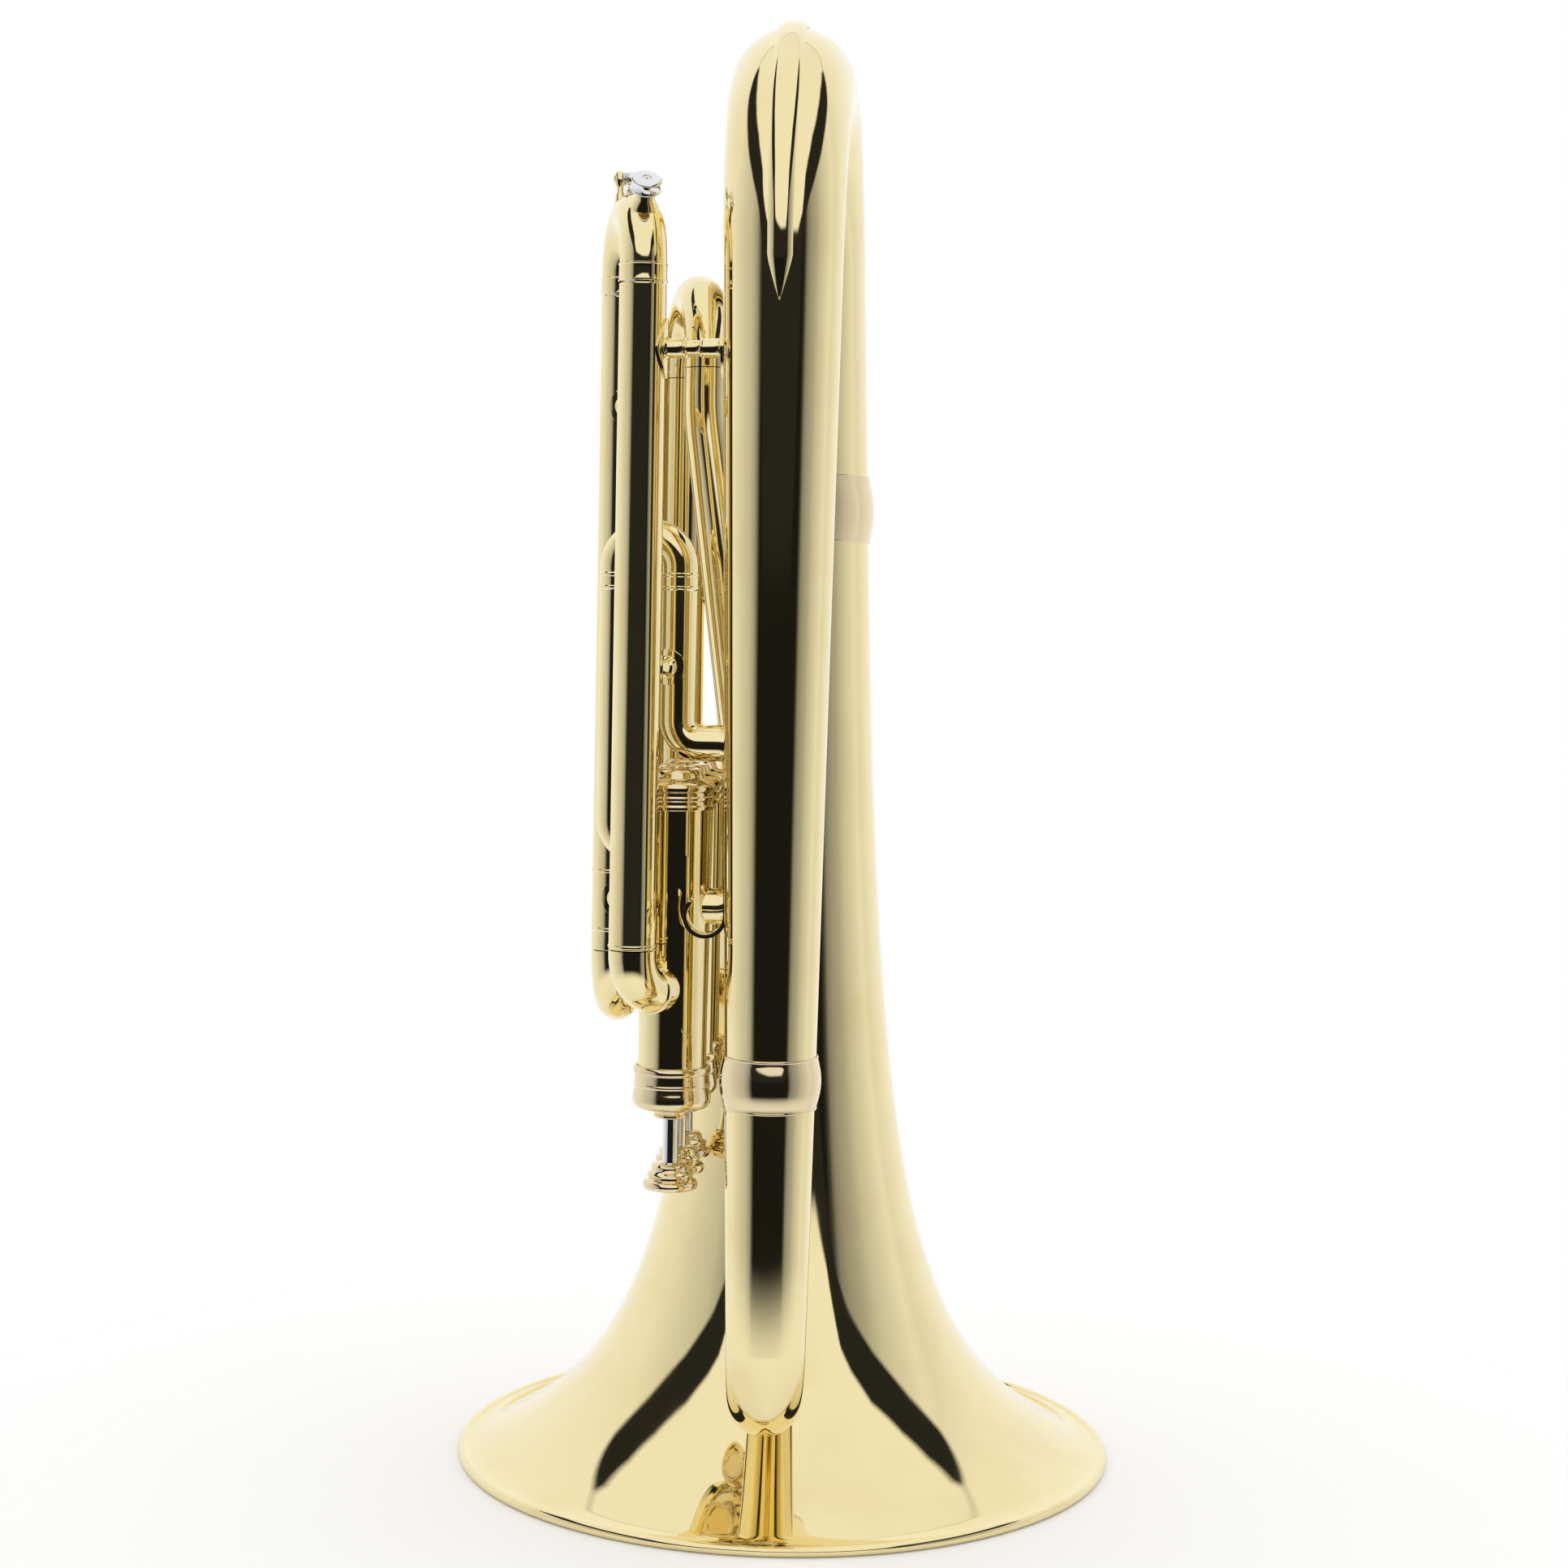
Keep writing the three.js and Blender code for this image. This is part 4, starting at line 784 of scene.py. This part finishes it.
coils = [woundWire(f"keySpring{k}", pivot + acrossBow * side * mm, acrossBow, waterKey["springRadius"],
                   waterKey["wire"], waterKey["springTurns"], waterKey["springPitch"])
         for k, side in enumerate(waterKey["springSides"])]
lever = joinInto(drum, neck, tail, tab, hub, *coils)
finishPiece(lever, "water_key", "nickel", nickel, "water_key_lever", edge=0.2, smooth=50)
print("main slide and water key made")

# Crook into the near valve, leadpipe and mouthpiece receiver
crook = {"drop": 185, "bend": 13, "collar": 2.6}
crookFoot = slideA(crook["drop"])
crookCorners = [slideA(slide["frontLow"] - 0.15), crookFoot, ontoCasing(0, crookFoot)]
crookTube = drawTube("mainCrook", crookCorners[0], -up, movesThrough(crookCorners, crook["bend"]),
                     always(slide["sleeve"]), sides=64)
crookWay = (valveSpot(0, crook["drop"]) - crookFoot).normalized()
collarFoot = reachValve(0, crookFoot) - crookWay * crook["collar"] * mm
collar = turnPiece("crookCollar", collarFoot, crookWay, [
    (7.5, 0), (7.9, 0), (8.35, 0.3), (8.45, 1.1), (8.35, 1.9), (8.35, 6), (7.5, 6)], 64, ring=True)
crookTube = joinInto(trimTo(crookTube, casingCore(0)), trimTo(collar, casingCore(0)))
brassOnHorn(crookTube, "main_crook")

lead = {"run": 174, "end": 62, "bend": 19, "low": 5.6, "lap": 10}
leadCorners = [slideB(slide["rearLow"] - 0.15), slideB(lead["run"]), at(slide["rearX"], lead["end"], lead["run"])]
leadTube = drawTube("leadpipe", leadCorners[0], -up, movesThrough(leadCorners, lead["bend"]),
                    evenly(slide["sleeve"], lead["low"]), turnStep=5)
brassOnHorn(leadTube, "leadpipe")
receiver = turnPiece("mouthpieceReceiver", at(slide["rearX"], lead["end"] - lead["lap"], lead["run"]), back, [
    (6.3, 0), (6.65, 0), (6.9, 0.5), (6.9, 1.2), (6.65, 1.7), (6.7, 8), (7, 50), (7.3, 51.4), (7.9, 52), (8.2, 53),
    (8.2, 56.8), (7.9, 57.6), (7.4, 58), (5.3, 58), (4.4, 14), (5.6, 13.2), (6.3, 13.1)], 64, ring=True)
brassOnHorn(receiver, "mouthpiece_receiver", edge=0.1)
print("crook and leadpipe made")

# Valve slides
valveSlide = {"tube": 6.2, "leg": 4.95, "ferrule": 6.5, "joint": 6, "ease": 2}
first = {"x": -56, "backX": -35, "returnX": -13, "y": -96, "high": 319, "low": 267.5, "port": 232, "returnPort": 212,
         "bend": 9, "backBend": 7.6, "insert": 24}
second = {"low": 190, "rise": 21, "length": 14, "turn": 2.3, "tube": 5.6, "leg": 4.35, "ferrule": 5.9, "insert": 10,
          "joint": 2.5}
third = {"high": 400, "insert": 60, "Left": {"x": -61, "y": -38, "port": 226, "bend": 10},
         "Right": {"x": -57, "y": -13, "port": 205, "bend": 11}}
mouthRows = [(5.3, -3.4), (6.2, -3.4), (6.5, -3), (6.55, -1.8), (6.4, -0.6), (6.2, -0.1), (5.3, -0.1)]


def casingTube(word, side, i, corners, bend, mouth):
    name = word + side + "Tube"
    tube = drawTube(name, corners[0], (corners[1] - corners[0]).normalized(), movesThrough(corners, bend),
                    always(valveSlide["tube"]), sides=48)
    tube = joinInto(tube, turnPiece(name + "Mouth", mouth, up, mouthRows, 48, ring=True))
    brassOnHorn(trimTo(tube, casingCore(i)), f"{word}_{side.lower()}_tube")


# A slide that pulls out: two thin legs, a ring on each and the bow over them
def pulledBow(word, feet, way, insert, size):
    name, body = word + "SlideBow", word + "_slide"
    leg, wide, tube, joint = size["leg"], size["ferrule"], size["tube"], size["joint"]
    low, high = way * (joint - 0.4) * mm, way * (joint + valveSlide["ease"]) * mm
    moves = [("run", high - low), bowOver(feet[0] + high, feet[1] + high, way), ("run", low - high)]
    bow = drawTube(name, feet[0] + low, way, moves, always(tube), sides=48, turnStep=5)
    rimRows = [(leg + 0.02, 0.35), (wide - 0.25, 0.35), (wide, 0.7), (wide, 1.3), (wide - 0.2, 1.6),
               (wide - 0.2, joint - 1.4), (wide, joint - 1.1), (wide, joint - 0.3), (tube, joint + 0.1),
               (leg + 0.02, joint + 0.1)]
    legRows = [(leg - 0.25, -insert), (leg, 0.3 - insert), (leg, 0.7 - insert), (leg, joint), (leg - 0.9, joint),
               (leg - 0.9, -insert)]
    rims = [turnPiece(f"{name}Ring{k}", foot, way, rimRows, 48, ring=True) for k, foot in enumerate(feet)]
    legs = [turnPiece(f"{name}Leg{k}", foot, way, legRows, 48, ring=True) for k, foot in enumerate(feet)]
    finishPiece(joinInto(bow, *rims), body, "brass", brass, body + "_bow", edge=0)
    inner = joinInto(*legs)
    inner.name = name + "Legs"
    finishPiece(inner, body, "nickel", nickel, body + "_bow", edge=0)


def firstAt(side, z):
    return at(first[side], first["y"], z)


frontFoot, frontTop = firstAt("x", first["port"]), firstAt("x", first["high"])
backTop, returnFoot = firstAt("backX", first["high"]), firstAt("returnX", first["returnPort"])
frontCorners = [ontoCasing(0, frontFoot), frontFoot, frontTop]
backCorners = [backTop, firstAt("backX", first["low"]), firstAt("returnX", first["low"]), returnFoot,
               ontoCasing(0, returnFoot)]
casingTube("first", "Left", 0, frontCorners, first["bend"], frontTop)
casingTube("first", "Right", 0, backCorners, first["backBend"], backTop)
pulledBow("first", (frontTop, backTop), up, first["insert"], valveSlide)

thirdTops = []
for side in ("Left", "Right"):
    run = third[side]
    foot, top = standing(run)(run["port"]), standing(run)(third["high"])
    casingTube("third", side, 2, [ontoCasing(2, foot), foot, top], run["bend"], top)
    thirdTops.append(top)
pulledBow("third", thirdTops, up, third["insert"], valveSlide)

secondWay = Vector((math.cos(second["turn"]), math.sin(second["turn"]), 0))
secondFeet, reach, wide = [], valve["radius"] + second["length"], second["tube"]
secondRows = [(wide, 8), (wide, reach - 3.2), (wide + 0.35, reach - 2.9), (wide + 0.4, reach - 1.6),
              (wide + 0.25, reach - 0.6), (wide, reach), (wide - 0.9, reach), (wide - 0.9, 8)]
for word, z in (("low", second["low"]), ("high", second["low"] + second["rise"])):
    tube = turnPiece(word + "SecondTube", valveSpot(1, z), secondWay, secondRows, 48, ring=True)
    brassOnHorn(trimTo(tube, casingCore(1)), f"second_{word}_tube")
    secondFeet.append(valveSpot(1, z) + secondWay * (reach + 0.3) * mm)
pulledBow("second", secondFeet, secondWay, second["insert"], second)
print("valve slides made")

# Stays: a rod with a collar, on a thin foot wrapped round each tube
stay = {"rod": 3.3, "waist": 2.7, "collar": 3.6, "foot": 3.9, "plate": 0.9, "leaf": (20, 10.5), "round": (12, 12),
        "main": 399.3, "upper": 382.5, "lower": 212.65, "bell": 320, "lead": 186, "leadFrom": 8, "leadTo": 22,
        "leadSkin": 6.5}


# Where a line meets the skin of a round piece: how far along, and the axis point abreast of it
def meetSkin(start, way, axisSpot, along, radiusAt):
    reach = 0.0
    for _ in range(40):
        off = start + way * reach * mm - axisSpot
        beside = off - along * off.dot(along)
        reach += radiusAt(off.dot(along) / mm) - beside.length / mm
    off = start + way * reach * mm - axisSpot
    return reach, axisSpot + along * off.dot(along), (off - along * off.dot(along)).normalized()


def footPlate(name, axisPoint, along, out, radiusAt, tall, wide):
    side = along.cross(out).normalized()
    power, ease = (2, 0.5) if tall <= wide * 1.2 else (1.7, 1)

    def spotAt(u, v, lift):
        half = wide / 2 * max(0.03, 1 - abs(u) ** power) ** ease
        radius = radiusAt(u * tall / 2) + 0.05
        angle, far = v * half / radius, radius + lift
        return axisPoint + (along * u * tall / 2 + out * far * math.cos(angle) + side * far * math.sin(angle)) * mm

    return wrapPlate(name, 16, 24, stay["plate"], spotAt)


# A stay between two skins, each given as (axis point, way, radius along it)
def makeStay(name, node, skinA, skinB, size, start=None):
    a, b = skinA[0] if start is None else start, skinB[0]
    way = (b - a).normalized()
    nearReach, nearAxis, nearOut = meetSkin(a, way, *skinA)
    farReach, farAxis, farOut = meetSkin(b, -way, *skinB)
    low, high = nearReach + 0.15, (b - a).length / mm - farReach - 0.15
    middle, foot, rod = (low + high) / 2, stay["foot"], stay["rod"]
    rows = [(foot - 0.1, low), (foot, low + 0.7), (rod, low + 1.4)]
    if high - low > 9:
        ring, waist = stay["collar"], stay["waist"]
        rows += [(rod, middle - 3.4), (ring, middle - 3.1), (ring, middle - 2.6), (waist, middle - 2.2),
                 (waist, middle + 2.2), (ring, middle + 2.6), (ring, middle + 3.1), (rod, middle + 3.4)]
    rows += [(rod, high - 1.4), (foot, high - 0.7), (foot - 0.1, high)]
    bar = turnPiece(name, a, way, rows, 40)
    plates = [footPlate(name + "NearFoot", nearAxis, skinA[1], nearOut, skinA[2], *size),
              footPlate(name + "FarFoot", farAxis, skinB[1], farOut, skinB[2], *size)]
    brassOnHorn(joinInto(bar, *plates), node, edge=0.12)


def frontRadius(z):
    share = (branch["springing"] - z) / (branch["springing"] - branch["seam"])
    return branch["bowEnd"] - (branch["bowEnd"] - branch["endRadius"]) * share


def tubeSkin(spot, radius, along=up):
    return spot, along, always(radius)


def frontSkin(z):
    return frontAt(z), up, lambda rise: frontRadius(z + rise)


def bellSkin(z):
    return at(0, 0, z), up, lambda rise: bellRadius(z + rise)


makeStay("mainStay", "main_stay", tubeSkin(slideA(stay["main"]), slide["sleeve"]), frontSkin(stay["main"]),
         stay["leaf"])
for word in ("upper", "lower"):
    rear, front = [tubeSkin(spot(stay[word]), slide["sleeve"]) for spot in (slideB, slideA)]
    makeStay(word + "SlideStay", word + "_slide_stay", rear, front, stay["round"])
makeStay("bellStay", "bell_stay", bellSkin(stay["bell"]), tubeSkin(outputAt(stay["bell"]), returnRun["radius"]),
         stay["round"])
leadSpot = at(slide["rearX"], stay["leadTo"], lead["run"])
makeStay("leadpipeStay", "leadpipe_stay", bellSkin(stay["lead"]), tubeSkin(leadSpot, stay["leadSkin"], back),
         stay["round"], at(0, stay["leadFrom"], stay["lead"]))
firstMiddle = (first["low"] + first["high"]) / 2
makeStay("firstSlideStay", "first_slide_stay", tubeSkin(slideA(firstMiddle), slide["sleeve"]),
         tubeSkin(firstAt("backX", firstMiddle), valveSlide["tube"]), stay["round"])
print("stays made")

# Curled hook for a finger
hook = {"x": -22.36, "y": -121, "z": 212, "radius": 7.4, "thick": 1.4, "width": 9, "rise": 16, "curl": 225, "steps": 25,
        "coreLow": 180, "coreHigh": 240}
hookTop = at(hook["x"] + hook["radius"] - hook["thick"] / 2, hook["y"], hook["z"] + hook["rise"])
strip = startBar("fingerHook", hookTop, back, -up, hook["width"], hook["thick"])
bpy.ops.mesh.extrude_region_move(TRANSFORM_OT_translate={"value": -up * hook["rise"] * mm})
for _ in range(hook["steps"]):
    bpy.ops.mesh.spin(steps=1, angle=math.radians(hook["curl"] / hook["steps"]),
                      center=at(hook["x"], hook["y"], hook["z"]), axis=(0, -1, 0))
closeUp(strip, False)
coreRows = [(frontRadius(z) + 0.05, z) for z in (hook["coreLow"], hook["coreHigh"])]
brassOnHorn(trimTo(strip, turnPiece("frontCore", frontAt(0), up, coreRows, 120)), "finger_hook", edge=0.45, smooth=40)
print("hook made")

# Floor, world and camera. The screens' lower and upper edges are heights over the azimuth, in degrees
room = {
    "floor": 0.42, "floorMiddle": (0, -60, -0.4), "floorFade": 0.24, "floorGlow": 0.06,
    "walls": [
        (-180, 1.0), (-135, 0.93), (-105, 0.88), (-82, 0.72), (-60, 0.58), (-50, 0.42), (-45, 0.28), (-41, 0.1),
        (-37, 0.01), (42, 0.01), (46, 0.06), (50, 0.24), (57, 0.34), (68, 0.44), (78, 0.6), (91, 0.72), (105, 0.86),
        (114, 0.8), (136, 0.92), (160, 0.97), (180, 1.0)],
    "ringLow": [
        (-180, 49), (-137, 49), (-128, 46), (-115, 41.5), (-95, 37.5), (-71, 31), (-54, 24), (-46, 18), (-38, 6),
        (-30, 0), (30, 0), (38, 6), (46, 18), (54, 24), (71, 31), (95, 37.5), (115, 41.5), (128, 46), (137, 49),
        (180, 49)],
    "ringHigh": [
        (-180, 49), (-137, 49), (-132, 51), (-115, 52.5), (-95, 51.5), (-70, 47.5), (-54, 41), (-46, 36), (-40, 26),
        (-30, 15), (0, 11), (30, 11), (38, 18), (46, 34), (54, 40), (70, 47.5), (95, 51.5), (115, 52.5), (132, 51),
        (137, 49), (180, 49)],
    "ringTone": 0.02, "ringEdge": 1.0, "ceiling": 0.93,
}


# A white floor seen by the camera, which fades out into the white behind it
def makeFloor():
    middle = at(*room["floorMiddle"])
    letGo()
    bpy.ops.mesh.primitive_circle_add(vertices=96, radius=room["floor"], fill_type="NGON", location=middle)
    floor = bpy.context.active_object
    floor.name = "floor"
    bpy.ops.object.transform_apply(location=True, rotation=True, scale=True)
    finish = bpy.data.materials.new("paleFloor")
    finish.use_nodes = True
    tree = finish.node_tree
    shader = tree.nodes["Principled BSDF"].inputs
    place = tree.nodes.new("ShaderNodeTexCoord")
    away = tree.nodes.new("ShaderNodeVectorMath")
    away.operation = "DISTANCE"
    fade = rangeNode(tree, away.outputs["Value"], room["floorFade"], room["floor"] - 0.01)
    fade.interpolation_type = "SMOOTHSTEP"
    ray = tree.nodes.new("ShaderNodeLightPath")
    glow = mathNode(tree, "MULTIPLY", ray.outputs["Is Camera Ray"], room["floorGlow"])
    feed(tree,
         (away.inputs[0], place.outputs["Object"]), (away.inputs[1], middle),
         (fade.inputs["To Min"], 1), (fade.inputs["To Max"], 0), (shader["Alpha"], fade.outputs["Result"]),
         (shader["Base Color"], (0.97, 0.97, 0.97, 1)), (shader["Roughness"], 0.9), (shader["Specular IOR Level"], 0),
         (shader["Emission Color"], (1, 1, 1, 1)), (shader["Emission Strength"], glow))
    floor.data.materials.append(finish)


# A ramp of grey tones round the azimuth
def toneRamp(tree, azimuth, stops):
    ramp = tree.nodes.new("ShaderNodeValToRGB")
    marks = ramp.color_ramp.elements
    while len(marks) > 1:
        marks.remove(marks[-1])
    for k, (angle, tone) in enumerate(stops):
        share = (angle + 180) / 360
        mark = marks[0] if k == 0 else marks.new(share)
        mark.position = share
        mark.color = (tone, tone, tone, 1)
    feed(tree, (ramp.inputs["Fac"], rangeNode(tree, azimuth, -180, 180).outputs["Result"]))
    return ramp.outputs["Color"]


# A soft step from 0 to 1 where the view rises over a height that follows the azimuth
def stepOver(tree, elevation, azimuth, stops):
    height = mathNode(tree, "MULTIPLY", toneRamp(tree, azimuth, [(angle, high / 90) for angle, high in stops]), 90)
    over = mathNode(tree, "DIVIDE", mathNode(tree, "SUBTRACT", elevation, height), room["ringEdge"])
    return rangeNode(tree, over, -1, 1).outputs["Result"]


# Even white light, and for what the metal mirrors a white studio with dark screens in front
def makeWorld():
    world = bpy.data.worlds.new("studio")
    bpy.context.scene.world = world
    world.use_nodes = True
    tree = world.node_tree
    tree.nodes.clear()
    place = tree.nodes.new("ShaderNodeTexCoord")
    way = tree.nodes.new("ShaderNodeSeparateXYZ")
    x, y, z = way.outputs
    azimuth = mathNode(tree, "DEGREES", mathNode(tree, "ARCTAN2", x, mathNode(tree, "MULTIPLY", y, -1)))
    elevation = mathNode(tree, "DEGREES", mathNode(tree, "ARCSINE", z))
    inRing, overRing = [stepOver(tree, elevation, azimuth, room[name]) for name in ("ringLow", "ringHigh")]
    dark, ceiling = [(room[name],) * 3 + (1,) for name in ("ringTone", "ceiling")]
    below = mixTone(tree, inRing, toneRamp(tree, azimuth, room["walls"]), dark)
    ray = tree.nodes.new("ShaderNodeLightPath")
    seen = mixTone(tree, ray.outputs["Is Glossy Ray"], (1, 1, 1, 1), mixTone(tree, overRing, below, ceiling))
    shine = tree.nodes.new("ShaderNodeBackground")
    out = tree.nodes.new("ShaderNodeOutputWorld")
    feed(tree, (way.inputs[0], place.outputs["Generated"]), (shine.inputs["Color"], seen),
         (out.inputs["Surface"], shine.outputs["Background"]))


makeFloor()
makeWorld()

shot = {"place": (49.1, -1022.8, 316.3), "swing": 3.0, "roll": 0.94, "lens": 62.795, "sensor": 36, "shift": -0.117}
letGo()
bpy.ops.object.camera_add(location=at(*shot["place"]))
camera = bpy.context.active_object
camera.name = "photoCamera"
turn = Matrix.Rotation(math.radians(shot["swing"]), 3, "Z") @ Matrix.Rotation(math.pi / 2, 3, "X")
camera.rotation_euler = (turn @ Matrix.Rotation(math.radians(shot["roll"]), 3, "Z")).to_euler()
camera.data.lens = shot["lens"]
camera.data.sensor_width = shot["sensor"]
camera.data.shift_y = shot["shift"]
camera.data.clip_start = 0.05
bpy.context.scene.camera = camera
bpy.context.scene.view_settings.view_transform = "Standard"

print("scene made")
